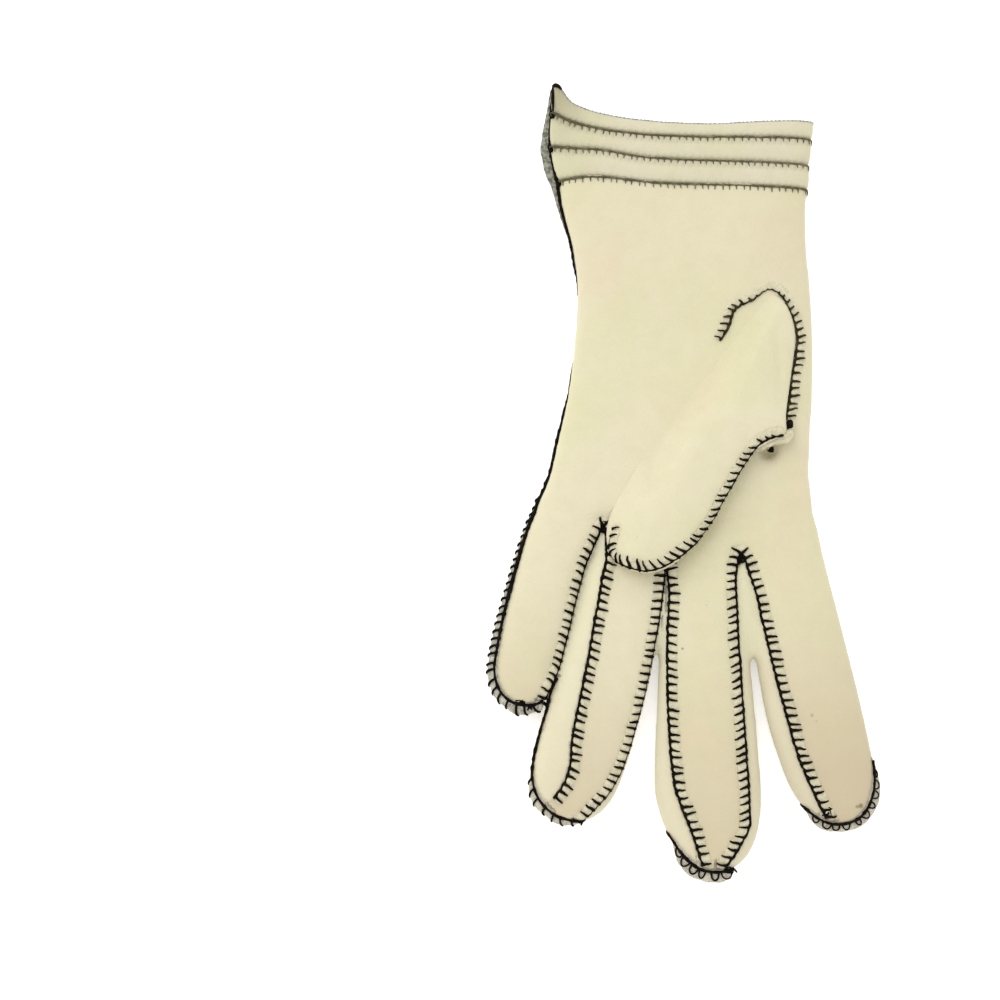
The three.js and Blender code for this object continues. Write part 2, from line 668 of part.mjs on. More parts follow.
// The glove's whole outer form without the thumb, with the raised lips of its seams.
const handAndFingers = join([
  handSolid(0, OVERRUN).subtract(pastEnd()),
  ...Object.values(fingers).map((body) => fingerSolid(body, 0)),
]);
const hollow = join([
  handSolid(WALL, 2 * OVERRUN),
  ...Object.values(fingers).map((body) => fingerSolid(body, WALL)),
]);

// Raw edges that stand out past the fingertips, from one distance on the left side of a finger
// to another on its right. The little finger's go on from the outer side seam.
const TIP_RIMS = {
  little: { fromLeft: 46, toRight: 51, steps: 8 },
  ring: { fromLeft: 48, toRight: 80, steps: 10 },
  middle: { fromLeft: 80, toRight: 88, steps: 9 },
  index: { fromLeft: 78, toRight: 67, steps: 9 },
};
const LITTLE_SIDE = [-4, 5.2, 14.4, 23.6, 32.8, 42];
const littleSide = LITTLE_SIDE.map((distance) => (
  place(fingers.little, distance, edges(fingers.little, distance).left, RIM_LEVEL)
));
const rims = Object.entries(TIP_RIMS).map(([name, { fromLeft, toRight, steps }]) => {
  const before = name === 'little' ? [...outseamPath(), ...littleSide] : [];
  const path = [...before, ...tipPath(fingers[name], fromLeft, toRight, steps)];
  return sweep(outstanding(path), RIM_PROFILE);
});
const outer = join([
  handAndFingers,
  ...rims,
  ...FOURCHETTES.map(stripLips),
  sweep(standing(holePath(LIP_WIDTH / 2 + SEAM_GAP)), LIP_PROFILE),
]);

// The thumb rests on the palm, its hollow opening down through the hole in it.
const thumbOuter = thumbLoft(0).add(sweep(standing(thumbSeamPath()), LIP_PROFILE));
const thumbHollow = thumbLoft(WALL).subtract(handAndFingers.translate([0, 0, SEAM_GAP + WALL]));
const mouth = thumbMouth();
const thumbCloth = thumbOuter
  .subtract(outer.translate([0, 0, SEAM_GAP]))
  .subtract(outer)
  .subtract(thumbHollow)
  .subtract(mouth);

// The hand's cloth is cut along the palm seams and the back seams into one large piece, folded
// at the index side, and the strips between the fingers.
const handCloth = outer.subtract(hollow).subtract(mouth);
const strips = FOURCHETTES.map((strip) => ({
  name: strip.name,
  body: handCloth.intersect(prism(stripOutline(strip, -SEAM_GAP / 2), BACK_SEAM + SEAM_GAP / 2, ABOVE_ALL)),
}));
const trankCloth = FOURCHETTES.reduce((cloth, strip) => (
  cloth.subtract(prism(stripOutline(strip, SEAM_GAP / 2), BACK_SEAM - SEAM_GAP / 2, ABOVE_ALL))
), handCloth);

// Profile of a cuff band: how far it stands out, as a share of its step, along its depth.
const BAND_SHAPE = [
  { share: 0, swell: 0.7 },
  { share: 0.18, swell: 1 },
  { share: 0.6, swell: 0.6 },
  { share: 1, swell: 0 },
];

const BAND_END = 0.02; // share of the band's depth by which its rim stays inside its ends

// One cuff band: a flat ring of cloth between two stitch lines, whose lower edge stands over
// the cloth below, with the raw edges of the outer side seam on its left.
function cuffBand(lower, upper) {
  const shrunk = beyondEnd(upper, -SEAM_GAP);
  const between = (share) => Object.fromEntries(
    Object.keys(lower).map((key) => [key, THREE.MathUtils.lerp(lower[key], shrunk[key], share)]),
  );
  const outside = BAND_SHAPE.map(({ share, swell }) => handRing(between(share), 0, swell * BAND_STEP));
  const inside = [1, 0].map((share) => handRing(between(share), WALL, 0));
  const edge = [BAND_END, 1 - BAND_END].map((share) => {
    const row = between(share);
    return new THREE.Vector3(row.left, row.y + climb(row, row.left), RIM_LEVEL + row.lift);
  });
  const rim = sweep(outstanding(edge), RIM_PROFILE);
  return closedLoft([...outside, ...inside]).add(rim.subtract(loft([...inside].reverse())));
}

function material(color) {
  return new THREE.MeshStandardMaterial({ color, roughness: ROUGHNESS, metalness: 0 });
}

// The largest single body of a cut result, without the slivers of the cut, as a named mesh.
function piece(name, body, color) {
  const whole = body.decompose().sort((a, b) => b.volume() - a.volume())[0];
  const { vertProperties, triVerts } = whole.simplify(SLIVER).getMesh();
  const geometry = new THREE.BufferGeometry();
  geometry.setAttribute('position', new THREE.BufferAttribute(vertProperties, 3));
  geometry.setIndex(new THREE.BufferAttribute(triVerts, 1));
  geometry.computeVertexNormals();
  const mesh = new THREE.Mesh(geometry, material(color));
  mesh.name = name;
  return mesh;
}

const glove = new THREE.Group();
glove.add(piece('trank', trankCloth, CLOTH.trank));
glove.add(piece('thumb', thumbCloth, CLOTH.thumb));
strips.forEach(({ name, body }) => glove.add(piece(name, body, CLOTH.strip)));
BAND_NAMES.forEach((name, i) => {
  glove.add(piece(name, cuffBand(CUFF_LINES[i], CUFF_LINES[i + 1]), CLOTH.cuff));
});

// The origin is the middle of the footprint, on the surface that the glove lies on.
const box = new THREE.Box3().setFromObject(glove);
const centre = box.getCenter(new THREE.Vector3());
glove.position.set(-centre.x, -centre.y, -box.min.z);

export default glove;
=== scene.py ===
import random
from math import acos, copysign, cos, exp, pi, radians, sin

import bmesh
import bpy
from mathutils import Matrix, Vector, noise
from mathutils.bvhtree import BVHTree
from mathutils.kdtree import KDTree


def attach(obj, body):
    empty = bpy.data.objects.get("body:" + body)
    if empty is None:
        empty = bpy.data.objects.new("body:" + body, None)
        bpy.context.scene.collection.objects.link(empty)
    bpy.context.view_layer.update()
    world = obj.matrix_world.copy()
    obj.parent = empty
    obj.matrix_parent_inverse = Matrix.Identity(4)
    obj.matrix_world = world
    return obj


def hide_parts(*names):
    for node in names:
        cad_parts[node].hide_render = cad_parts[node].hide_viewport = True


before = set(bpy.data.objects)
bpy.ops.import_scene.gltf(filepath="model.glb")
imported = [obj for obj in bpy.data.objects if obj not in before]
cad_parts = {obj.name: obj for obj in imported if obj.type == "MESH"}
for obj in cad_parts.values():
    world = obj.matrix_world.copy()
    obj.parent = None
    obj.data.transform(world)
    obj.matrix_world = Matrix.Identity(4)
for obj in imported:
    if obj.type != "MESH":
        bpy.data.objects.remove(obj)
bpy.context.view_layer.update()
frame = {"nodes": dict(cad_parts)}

# The glove lies on its back on a pale table, palm up and fingertips towards the viewer. The
# camera looks down on it, a little from the fingertips' side, and the glove is to the right of
# the middle of the picture. The light is soft and comes from beyond the cuff's left end.
MM = 0.001
MIDDLE = Vector((-0.344, 2.899, 0.0))  # mm, middle of the footprint in the glove's own drawing
AIM = (-56.3, -5.3, 5.0)  # mm, in the drawing
DISTANCE = 0.8
TILT = radians(10)


def placed(x, y, z=0.0):
    """A point of the drawing, in millimetres, as a place on the table in metres."""
    return (Vector((x, y, z)) - MIDDLE) * MM


def drawn_at(point):
    """A place on the table in metres as a point of the drawing, in millimetres."""
    return point / MM + MIDDLE


def linear(red, green, blue):
    """A colour given as it shows on a screen, from 0 to 255, as light."""
    return tuple(
        (c / 12.92 if c <= 0.04045 else ((c + 0.055) / 1.055) ** 2.4)
        for c in (red / 255, green / 255, blue / 255)
    )


def shown(name, data):
    """A new object of the scene that stands at the origin."""
    made = bpy.data.objects.new(name, data)
    bpy.context.scene.collection.objects.link(made)
    return made


def object_of(name, mesh):
    """A new object with the faces of a bmesh."""
    data = bpy.data.meshes.new(name)
    mesh.to_mesh(data)
    return shown(name, data)


lens = bpy.data.cameras.new("camera")
lens.lens = 92.9
lens.sensor_width = 36
camera = shown("camera", lens)
camera.rotation_euler = (TILT, 0, 0)
camera.location = placed(*AIM) - DISTANCE * Vector((0, sin(TILT), -cos(TILT)))
bpy.context.scene.camera = camera

window = bpy.data.lights.new("window", "AREA")
window.energy = 8.5
window.size = 1.3
window_place = shown("window", window)
window_place.location = (-0.8, 0.9, 1.2)
window_place.rotation_euler = (-window_place.location).to_track_quat("-Z", "Y").to_euler()

sky = bpy.data.worlds.new("room")
bpy.context.scene.world = sky
sky.use_nodes = True
sky.node_tree.nodes["Background"].inputs["Color"].default_value = (1.0, 1.0, 1.0, 1)
sky.node_tree.nodes["Background"].inputs["Strength"].default_value = 1.12
bpy.context.scene.view_settings.view_transform = "Standard"

TABLE_HALF = 2.0
TABLE_DEPTH = -0.5  # mm, so that the stitches under the glove stay clear of it
top = bmesh.new()
bmesh.ops.create_grid(top, x_segments=1, y_segments=1, size=TABLE_HALF)
bmesh.ops.translate(top, verts=top.verts, vec=(0, 0, TABLE_DEPTH * MM))
table = object_of("table", top)
table_paint = bpy.data.materials.new("table_paint")
table_paint.use_nodes = True
table_shader = table_paint.node_tree.nodes["Principled BSDF"]
table_shader.inputs["Base Color"].default_value = (*linear(254, 254, 254), 1)
table_shader.inputs["Roughness"].default_value = 0.85
table_shader.inputs["Emission Color"].default_value = (1.0, 1.0, 1.0, 1)
table_shader.inputs["Emission Strength"].default_value = 0.3
table.data.materials.append(table_paint)


# The form of the glove is drawn as flat tubes of suede, one for the hand and one for each
# finger. The tables are in millimetres and in the drawing's own axes: x across the palm, y
# towards the cuff. left and right are a tube's edges, seam_left and seam_right the palm seams, as
# offsets from a finger's middle line at a distance along it.
EDGE_LEVEL = 0.42  # where a flat tube is widest, as a share of its height
HAND_POWER = 3.4
FINGER_POWER = 2.5
UNDER_POWER = 4.0
TIP_POWER = 2.3
TIP_FLATNESS = 0.62
RING_POINTS = 48
PEAK_SPREAD = 10  # mm from the cuff's corner, over which its lines climb and it is turned up
POINT_AT = 1.4  # mm, from the cuff's edge to the corner's very tip
POINT_SPREAD = 2.4
HUMP_AT = -26  # mm across, where the cuff's lines bow up
HUMP_SPREAD = 12
SAG_AT = 9  # mm across, where the cuff's free edge hangs
SAG_SPREAD = 17


def table_of(columns, *rows):
    """Rows of numbers under named columns."""
    return [dict(zip(columns.split(), row)) for row in rows]


HAND_BEYOND = 3.0  # mm, how far the hand goes on inside the cuff
HAND_TOP = 90.0  # y of its first section below the cuff
HAND_STEP = 4.0
HAND = table_of(
    "y left right height",
    (94.4, -38.0, 40.6, 8.6),
    (86, -36.0, 40.2, 8.8),
    (76, -33.2, 40.2, 9.0),
    (64, -31.8, 41.0, 9.0),
    (52, -32.1, 41.6, 9.0),
    (39, -33.4, 41.6, 9.0),
    (26, -35.2, 41.0, 9.0),
    (13, -38.2, 40.0, 9.0),
    (1, -41.0, 39.6, 9.0),
    (-8, -45.0, 40.6, 9.0),
    (-14, -45.4, 40.6, 7.6),
)
CUFF = table_of(
    "y rise peak lift hump fall sag left right height",
    (95.5, 0.0, 0.0, 0.0, 1.8, 0.026, 0.0, -38.0, 41.0, 8.8),
    (103.2, 3.0, 0.0, 3.0, 2.0, 0.024, 0.0, -40.3, 41.4, 8.8),
    (111.0, 6.5, 0.0, 6.0, 0.5, 0.006, 0.3, -39.9, 42.4, 8.8),
    (115.8, 9.1, 2.4, 8.0, 0.4, -0.016, 1.1, -39.1, 43.2, 8.6),
)
FINGER_COLUMNS = "along left right height seam_left seam_right"
LITTLE = table_of(
    FINGER_COLUMNS,
    (-16, -4.0, 14.0, 6.6, 0, 13.0),
    (-4, -9.0, 14.0, 8.2, 0, 12.8),
    (4, -10.2, 10.8, 8.4, 0, 10.5),
    (12, -10.6, 9.2, 8.4, 0, 9.6),
    (30, -10.7, 9.1, 8.4, 0, 9.6),
    (44, -9.9, 8.8, 8.2, 0, 9.4),
    (58, -8.4, 10.8, 8.0, 0, 6.4),
)
RING = table_of(
    FINGER_COLUMNS,
    (-19, -14.0, 14.0, 6.6, -11.0, 9.8),
    (-6, -14.6, 14.0, 8.6, -10.4, 9.8),
    (2, -11.8, 10.6, 8.8, -8.6, 9.9),
    (10, -13.0, 11.4, 8.8, -7.9, 10.9),
    (20, -13.0, 12.4, 8.8, -7.2, 12.1),
    (40, -13.4, 13.8, 8.8, -5.7, 13.3),
    (60, -14.6, 13.4, 8.8, -4.8, 13.0),
    (73, -14.6, 12.5, 8.8, -3.3, 10.9),
    (86, -14.4, 12.2, 8.6, -7.6, 4.0),
)
MIDDLE_FINGER = table_of(
    FINGER_COLUMNS,
    (-21, -15.0, 15.0, 6.8, -12.0, 11.4),
    (-8, -15.6, 15.4, 8.8, -12.0, 11.4),
    (2, -12.4, 11.6, 9.0, -12.0, 9.4),
    (10, -13.4, 12.2, 8.8, -11.5, 8.9),
    (30, -14.8, 12.6, 8.8, -12.6, 9.2),
    (50, -16.3, 13.8, 8.8, -12.8, 9.9),
    (70, -17.5, 14.7, 8.8, -11.6, 10.6),
    (78, -16.6, 14.8, 8.8, -9.2, 10.6),
    (84, -15.6, 15.0, 8.8, -7.0, 10.0),
    (98, -12.6, 15.4, 8.8, -2.8, 0.6),
)
INDEX = table_of(
    FINGER_COLUMNS,
    (-19, -15.0, 10.4, 6.8, -12.6, 0),
    (-6, -15.6, 11.4, 8.8, -12.8, 0),
    (2, -13.0, 11.2, 9.0, -12.6, 0),
    (10, -14.0, 11.4, 9.0, -11.8, 0),
    (30, -15.6, 12.0, 9.0, -11.6, 0),
    (50, -16.4, 12.4, 9.0, -10.9, 0),
    (66, -14.9, 12.2, 9.0, -9.6, 0),
    (84, -12.4, 11.4, 8.8, -5.4, 0),
)


def column(rows, key, field, at):
    """Smooth value of one column of a table at a place between its rows."""
    last = len(rows) - 1
    way = 1 if rows[last][key] > rows[0][key] else -1
    i = 0
    while i < last - 1 and (rows[i + 1][key] - at) * way < 0:
        i += 1
    a, b = rows[i], rows[i + 1]
    before, after = rows[max(i - 1, 0)], rows[min(i + 2, last)]
    span = b[key] - a[key]
    t = min(max((at - a[key]) / span, 0), 1)
    slope_a = (b[field] - before[field]) / (b[key] - before[key]) * span
    slope_b = (after[field] - a[field]) / (after[key] - a[key]) * span
    bend = 3 * t**2 - 2 * t**3
    ends = (t**3 - 2 * t**2 + t) * slope_a + (t**3 - t**2) * slope_b
    return a[field] + (b[field] - a[field]) * bend + ends


def blend(a, b, share):
    return a + (b - a) * share


def ease(value, low, high):
    """Rises softly from 0 to 1 between two values."""
    t = min(max((value - low) / (high - low), 0), 1)
    return t * t * (3 - 2 * t)


def section(left, right, base, top, power, points=RING_POINTS, fold=None, under=UNDER_POWER):
    """Outline of a flat empty tube, crowned above and almost level where it lies.

    fold gives the left half its own level of the edge and its own roundness above it.
    """
    centre, half = (left + right) / 2, (right - left) / 2
    outline = []
    for i in range(points):
        angle = 2 * pi * i / points
        level, above = fold if fold and cos(angle) < 0 else (EDGE_LEVEL, power)
        edge = level * (top - base)
        bend = above if sin(angle) >= 0 else under
        reach = copysign(abs(cos(angle)) ** (2 / bend), cos(angle))
        rise = copysign(abs(sin(angle)) ** (2 / bend), sin(angle))
        tall = top - base - edge if rise > 0 else edge
        outline.append((centre + half * reach, base + edge + tall * rise))
    return outline


class Limb:
    """A finger or the thumb, drawn along its middle line."""

    def __init__(self, root, tip, shoulder, rows):
        self.root = Vector(root)
        self.axis = Vector(tip) - self.root
        self.length = self.axis.length
        self.axis.normalize()
        self.across = Vector((-self.axis.y, self.axis.x))
        self.shoulder = shoulder
        self.rows = rows

    def value(self, field, distance):
        return column(self.rows, "along", field, distance)

    def spot(self, distance, offset):
        return self.root + self.axis * distance + self.across * offset

    def share(self, distance):
        """Part of the full width that is left where the tip closes."""
        into = (distance - self.shoulder) / (self.length - self.shoulder)
        into = min(max(into, 0), 1)
        return (1 - into**TIP_POWER) ** (1 / TIP_POWER)

    def edges(self, distance):
        share = self.share(distance)
        left, right = self.value("left", distance), self.value("right", distance)
        centre, half = (left + right) / 2 * share, (right - left) / 2 * share
        return centre - half, centre + half

    def stations(self, start, step=2.0, tip_steps=14):
        """Distances for sections, closer together where the tip rounds."""
        count = round((self.shoulder - start) / step)
        body = [blend(start, self.shoulder, i / count) for i in range(count)]
        turn = [sin(pi / 2 * i / tip_steps) for i in range(tip_steps)]
        return body + [blend(self.shoulder, self.length, t) for t in turn]


FINGERS = {
    "little": Limb((-37.1, -14.7), (-50.8, -68.4), 44, LITTLE),
    "ring": Limb((-14.3, -21.0), (-35.7, -103.4), 68, RING),
    "middle": Limb((7.0, -23.5), (8.8, -119.2), 70, MIDDLE_FINGER),
    "index": Limb((31.7, -21.6), (48.6, -104.6), 66, INDEX),
}


def finger_rings(limb):
    rings = []
    for distance in limb.stations(limb.rows[0]["along"]):
        left, right = limb.edges(distance)
        flat = blend(TIP_FLATNESS, 1, limb.share(distance) ** 0.5)
        top = limb.value("height", distance) * flat
        outline = section(left, right, 0, top, FINGER_POWER)
        rings.append([placed(*limb.spot(distance, x), z) for x, z in outline])
    return rings


def hand_row(y):
    return {"y": y, **{field: column(HAND, "y", field, y) for field in ("left", "right", "height")}}


def climb(row, x):
    """How far a line of the cuff lies above its own y at a place across it."""
    bow = exp(-(((x - HUMP_AT) / HUMP_SPREAD) ** 2))
    dip = exp(-(((x - SAG_AT) / SAG_SPREAD) ** 2))
    along = max(x - row["left"], 0)
    point = exp(-(((along - POINT_AT) / POINT_SPREAD) ** 2))
    peak = row["rise"] * exp(-along / PEAK_SPREAD) + row["peak"] * point
    return peak + row["hump"] * bow - row["sag"] * dip - row["fall"] * x


def cuff_ring(row, inset=0.0, swell=0.0, points=RING_POINTS):
    """A ring of the cuff, whose little-finger corner climbs and is turned up."""
    left, right = row["left"] - swell / 2 + inset, row["right"] + swell / 2 - inset
    outline = section(left, right, inset, row["height"] + swell - inset, HAND_POWER, points)
    return [
        placed(x, row["y"] + climb(row, x), z + row["lift"] * exp(-(x - row["left"]) / PEAK_SPREAD))
        for x, z in outline
    ]


def hand_rings():
    """The hand, which goes on a little way inside the cuff's lowest band."""
    rings = [cuff_ring({**CUFF[0], "y": CUFF[0]["y"] + HAND_BEYOND}), cuff_ring(CUFF[0])]
    y = HAND_TOP
    while y > HAND[-1]["y"]:
        row = hand_row(y)
        outline = section(row["left"], row["right"], 0, row["height"], HAND_POWER)
        rings.append([placed(x, y, z) for x, z in outline])
        y -= HAND_STEP
    return rings


SAME_PLACE = 1e-7  # m


def stretched(mesh, rings, back=False):
    """Adds faces over rings of points, and from the last ring back to the first if asked to."""
    count = len(rings[0])
    rows = len(rings) if back else len(rings) - 1
    corners = bmesh.ops.create_grid(mesh, x_segments=count, y_segments=rows, size=0.5)["verts"]
    for corner in corners:
        i = round((corner.co.x + 0.5) * count) % count
        j = round((corner.co.y + 0.5) * rows) % len(rings)
        corner.co = rings[j][i]
    bmesh.ops.remove_doubles(mesh, verts=corners, dist=SAME_PLACE)


def tube(mesh, rings):
    """Adds a closed tube over rings of points, drawn together at both ends."""
    count = len(rings[0])
    ends = [[sum(ring, Vector()) / count] * count for ring in (rings[0], rings[-1])]
    stretched(mesh, [ends[0], *rings, ends[1]])


def sleeve(mesh, rings):
    """Adds a band over rings of points that come back to the first ring."""
    stretched(mesh, rings, back=True)


def skin_over(mesh, voxel, smoothing):
    """One even skin of faces round tubes that run into each other, with their corners eased."""
    bmesh.ops.recalc_face_normals(mesh, faces=mesh.faces)
    lump = object_of("lump", mesh)
    remesh = lump.modifiers.new("skin", "REMESH")
    remesh.mode = "VOXEL"
    remesh.voxel_size = voxel * MM
    finished = lump.evaluated_get(bpy.context.evaluated_depsgraph_get())
    skin = bmesh.new()
    skin.from_mesh(finished.to_mesh())
    bpy.data.objects.remove(lump)
    for _ in range(smoothing):
        bmesh.ops.smooth_vert(
            skin, verts=skin.verts, factor=0.5, use_axis_x=True, use_axis_y=True, use_axis_z=True
        )
    return skin


# Each side strip is folded between its two fingers. Beside the middle finger the fold closes the
# gap for its first part, and the two webs below stand for it.
WEB = table_of(
    "along left right height",
    (0, -2.8, 2.8, 7.4),
    (20, -2.2, 2.2, 7.0),
    (32, -1.5, 1.5, 6.2),
)
WEBS = (
    Limb((-5.2, -23.0), (-8.2, -50.0), 23, WEB),
    Limb((18.4, -23.0), (21.1, -54.0), 27, WEB),
)

VOXEL = 1.0  # mm
EASING = 8  # times that the corners are eased
GROWTH = 0.28  # mm, which gives back what easing the corners takes off the edges
drawn = bmesh.new()
tube(drawn, hand_rings())
for limb in (*FINGERS.values(), *WEBS):
    tube(drawn, finger_rings(limb))
form = skin_over(drawn, VOXEL, EASING)
form.normal_update()
for point in form.verts:
    point.co += Vector((point.normal.x, point.normal.y, 0)) * GROWTH * MM

# The suede is soft, so its upper side lies in shallow swells.
SWELL = 0.35  # mm
SWELL_SIZE = 22.0
UPPER_SIDE = (4, 8)  # mm above the table, from where to where the swells come in
POCKET = placed(26.9, 9.6)  # a hollow under the corner where the thumb leaves the palm
POCKET_WIDTH = 2.4  # mm
POCKET_DEPTH = 4.2
for point in form.verts:
    high = ease(point.co.z / MM, *UPPER_SIDE)
    away = (point.co.xy - POCKET.xy).length / MM / POCKET_WIDTH
    rise = SWELL * noise.noise(point.co / (SWELL_SIZE * MM)) - POCKET_DEPTH * exp(-(away**2))
    point.co.z += rise * high * MM
ground = BVHTree.FromBMesh(form)


# Every piece is cut from matte cream suede, the side strips a little paler and the cuff a little
# greyer. It has a fine even nap and faint greenish and pinkish clouds, and it is more tan at the
# fingertips. Painted shade darkens it beside every seam and at the cuff's turned-up corner, where
# it turns away from the light. It puckers a little at every stitch.
class Wire:
    """A socket of a material's nodes, on which sums are written as in plain arithmetic."""

    def __init__(self, tree, socket=None):
        self.tree = tree
        self.socket = socket

    def node(self, kind, settings, links, output=0):
        """A node of any kind: its settings first, then the values or links of its sockets."""
        made = self.tree.nodes.new(kind)
        for key, value in settings.items():
            setattr(made, key, value)
        for key, value in links.items():
            if isinstance(value, Wire):
                self.tree.links.new(value.socket, made.inputs[key])
            else:
                made.inputs[key].default_value = value
        return Wire(self.tree, made.outputs[output])

    def maths(self, operation, a, b=0.0):
        return self.node("ShaderNodeMath", {"operation": operation}, {0: a, 1: b})

    def __add__(self, other):
        return self.maths("ADD", self, other)

    def __rsub__(self, other):
        return self.maths("SUBTRACT", other, self)

    def __mul__(self, other):
        return self.maths("MULTIPLY", self, other)

    def noise(self, scale, detail, roughness=0.5):
        links = {"Vector": self, "Scale": scale, "Detail": detail, "Roughness": roughness}
        return self.node("ShaderNodeTexNoise", {}, links)

    def ramp(self, low, high):
        """Rises softly from 0 to 1 between two values of this socket."""
        return self.node(
            "ShaderNodeMapRange", {"interpolation_type": "SMOOTHSTEP"},
            {"Value": self, "From Min": low, "From Max": high},
        )

    def mix(self, first, second):
        """Two colours mixed by this socket."""
        return self.node("ShaderNodeMix", {"data_type": "RGBA"}, {0: self, 6: first, 7: second}, 2)

    def attribute(self, name):
        return self.node("ShaderNodeAttribute", {"attribute_name": name}, {}, "Fac")

    def into(self, shader, name):
        self.tree.links.new(self.socket, shader.inputs[name])


def paint_of(name, roughness):
    """A new material with its shader, and its place on the object to draw patterns by."""
    paint = bpy.data.materials.new(name)
    paint.use_nodes = True
    shader = paint.node_tree.nodes["Principled BSDF"]
    shader.inputs["Roughness"].default_value = roughness
    start = Wire(paint.node_tree)
    return paint, shader, start.node("ShaderNodeTexCoord", {}, {}, "Object")


def bumped(height, shader):
    """Height in millimetres, as a bump of the shader."""
    links = {"Height": height, "Distance": MM, "Strength": 1.0}
    height.node("ShaderNodeBump", {}, links, "Normal").into(shader, "Normal")


SPECKS = (
    (51.8, -100.0, 0.8, 0.6),
    (52.9, -99.7, 1.0, 0.75),
    (-0.5, -52.0, 0.45, 0.6),
    (38.5, -72.5, 0.8, 0.35),
    (39.8, -74.2, 0.5, 0.3),
    (-14.5, -18.5, 0.4, 0.55),
    (7.0, -38.6, 0.35, 0.3),
)  # x, y, radius and strength of small brown spots, mm


GREENISH = (0.96, 0.985, 0.9)
PINKISH = (1.005, 0.94, 0.93)
DARKER = (0.8, 0.8, 0.8)
# Painted shade: beside a seam's raw edges the suede is mixed towards dark olive, where it dips into the
# seam.
SEAM_SHADE = linear(120, 112, 76)
SEAM_SHADE_REACH = 1.4  # mm from a seam's raw edges
PUCKERS = (0.2, 1.9)  # mm from a seam's raw edges, from where to where its puckers run out
SPECK = linear(98, 82, 46)
SPECK_ROUGH = 0.0016  # m, how ragged the edge of a speck is
SPECK_BLUR = (0.8, 0.9)  # mm, about half of that, added to its core and to its radius


def toned(colour, shares):
    return tuple(part * share for part, share in zip(colour, shares))


def suede(name, body, tan_and_shade, seam_shade):
    """Suede of one colour, with the colour of its tan parts (on the cuff this is the painted shade of its
    turned-up corner), and how much painted shade darkens it beside a seam.
    """
    paint, shader, spot = paint_of(name, 0.92)
    shader.inputs["Sheen Weight"].default_value = 0.12
    clouds = spot.noise(26, 3)
    warmth = spot.noise(41, 2)
    mottle = spot.noise(190, 4, 0.6)
    nap = spot.noise(2100, 3, 0.7)
    colour = clouds.ramp(0.4, 0.66).mix((*body, 1), (*toned(body, GREENISH), 1))
    colour = (warmth.ramp(0.56, 0.74) * 0.6).mix(colour, (*toned(body, PINKISH), 1))
    colour = spot.attribute("tan_and_shade").mix(colour, (*tan_and_shade, 1))
    # Painted shade beside the seams, darkest at a seam's raw edges.
    gap = spot.attribute("gap")
    near_seam = 1 - gap.ramp(0.0, SEAM_SHADE_REACH)
    colour = (near_seam * seam_shade).mix(colour, (*SEAM_SHADE, 1))
    shade = mottle.ramp(0.3, 0.8) * 0.1 + nap.ramp(0.2, 0.9) * 0.16
    colour = shade.mix(colour, (*toned(tan_and_shade, DARKER), 1))
    flat = spot.node("ShaderNodeVectorMath", {"operation": "MULTIPLY"}, {0: spot, 1: (1, 1, 0)})
    for x, y, radius, strength in SPECKS:
        centre = placed(x, y)
        away = flat.node("ShaderNodeVectorMath", {"operation": "DISTANCE"}, {0: flat, 1: centre}, "Value")
        core, rim = radius * 0.2 + SPECK_BLUR[0], radius + SPECK_BLUR[1]
        near = 1 - (away + mottle * SPECK_ROUGH).ramp(core * MM, rim * MM)
        colour = (near * strength).mix(colour, (*SPECK, 1))
    colour.into(shader, "Base Color")
    beat = spot.attribute("stitch") * (2 * pi)
    pucker = beat.maths("COSINE", beat) * (1 - gap.ramp(*PUCKERS))
    height = nap * 0.11 + mottle * 0.1 + pucker * -0.12
    bumped(height, shader)
    return paint


CREAM = linear(213, 206, 176)
TAN = linear(192, 178, 148)
suede_paint = suede("suede", CREAM, TAN, 0.12)


# The raised seams are the pieces' two raw edges, which stand up side by side. They are held by
# whipstitches in thick black cotton thread: a tooth over the edges every two and a half
# millimetres, and a wavy line of thread along their foot. On the palm the edges are low and
# cream. At the tips and down the outer side they stand out sideways and are grey: partly their
# own flecked colour, partly painted shade on their steep outer faces.
STEP = 0.4  # mm, between the frames of a seam
PITCH = 2.5  # mm, from stitch to stitch
EDGE_WIDTH = 2.0
EDGE_RISE = 0.75
LINE_AWAY = 0.6  # from the middle of the raw edges to the line of thread, as a share of their width
LOW_END = 0.3  # height of the raw edges at a seam's end, as a share of the whole
END_RUN = 2.0  # mm
THREAD = 0.34  # mm, radius
HIGH = 60  # mm, from where a place on the glove is looked up
DOWN = Vector((0, 0, -1))
UP = Vector((0, 0, 1))
STANDING = (
    (-0.5, -0.5), (-0.54, 0.2), (-0.46, 0.7), (-0.28, 0.96), (-0.08, 0.98),
    (0.0, 0.84), (0.08, 0.98), (0.28, 0.96), (0.46, 0.7), (0.54, 0.2), (0.5, -0.5), (0.0, -0.6),
)  # across as a share of the width, out as a share of the rise
LEANING = (
    (-0.5, -0.5), (-0.54, 0.2), (-0.46, 0.75), (-0.28, 1.0), (-0.04, 0.94), (0.16, 0.9),
    (0.36, 0.76), (0.54, 0.5), (0.72, 0.2), (0.9, -0.1), (0.9, -0.6), (0.0, -0.8),
)  # edges that lie over towards the teeth's side
TOOTH = table_of(
    "across out over along thick",
    (-0.66, 0.0, 0.12, 0.0, 1.2),
    (-0.54, 0.7, 0.14, 0.05, 1.3),
    (-0.25, 1.0, 0.14, 0.2, 1.25),
    (0.1, 1.0, 0.12, 0.45, 1.1),
    (0.42, 0.85, 0.1, 0.75, 1.0),
    (0.68, 0.45, 0.1, 0.95, 0.85),
    (0.92, 0.0, 0.02, 1.05, 0.6),
)  # over the raw edges: the same shares, mm beyond them, share of the slant, share of the thickness
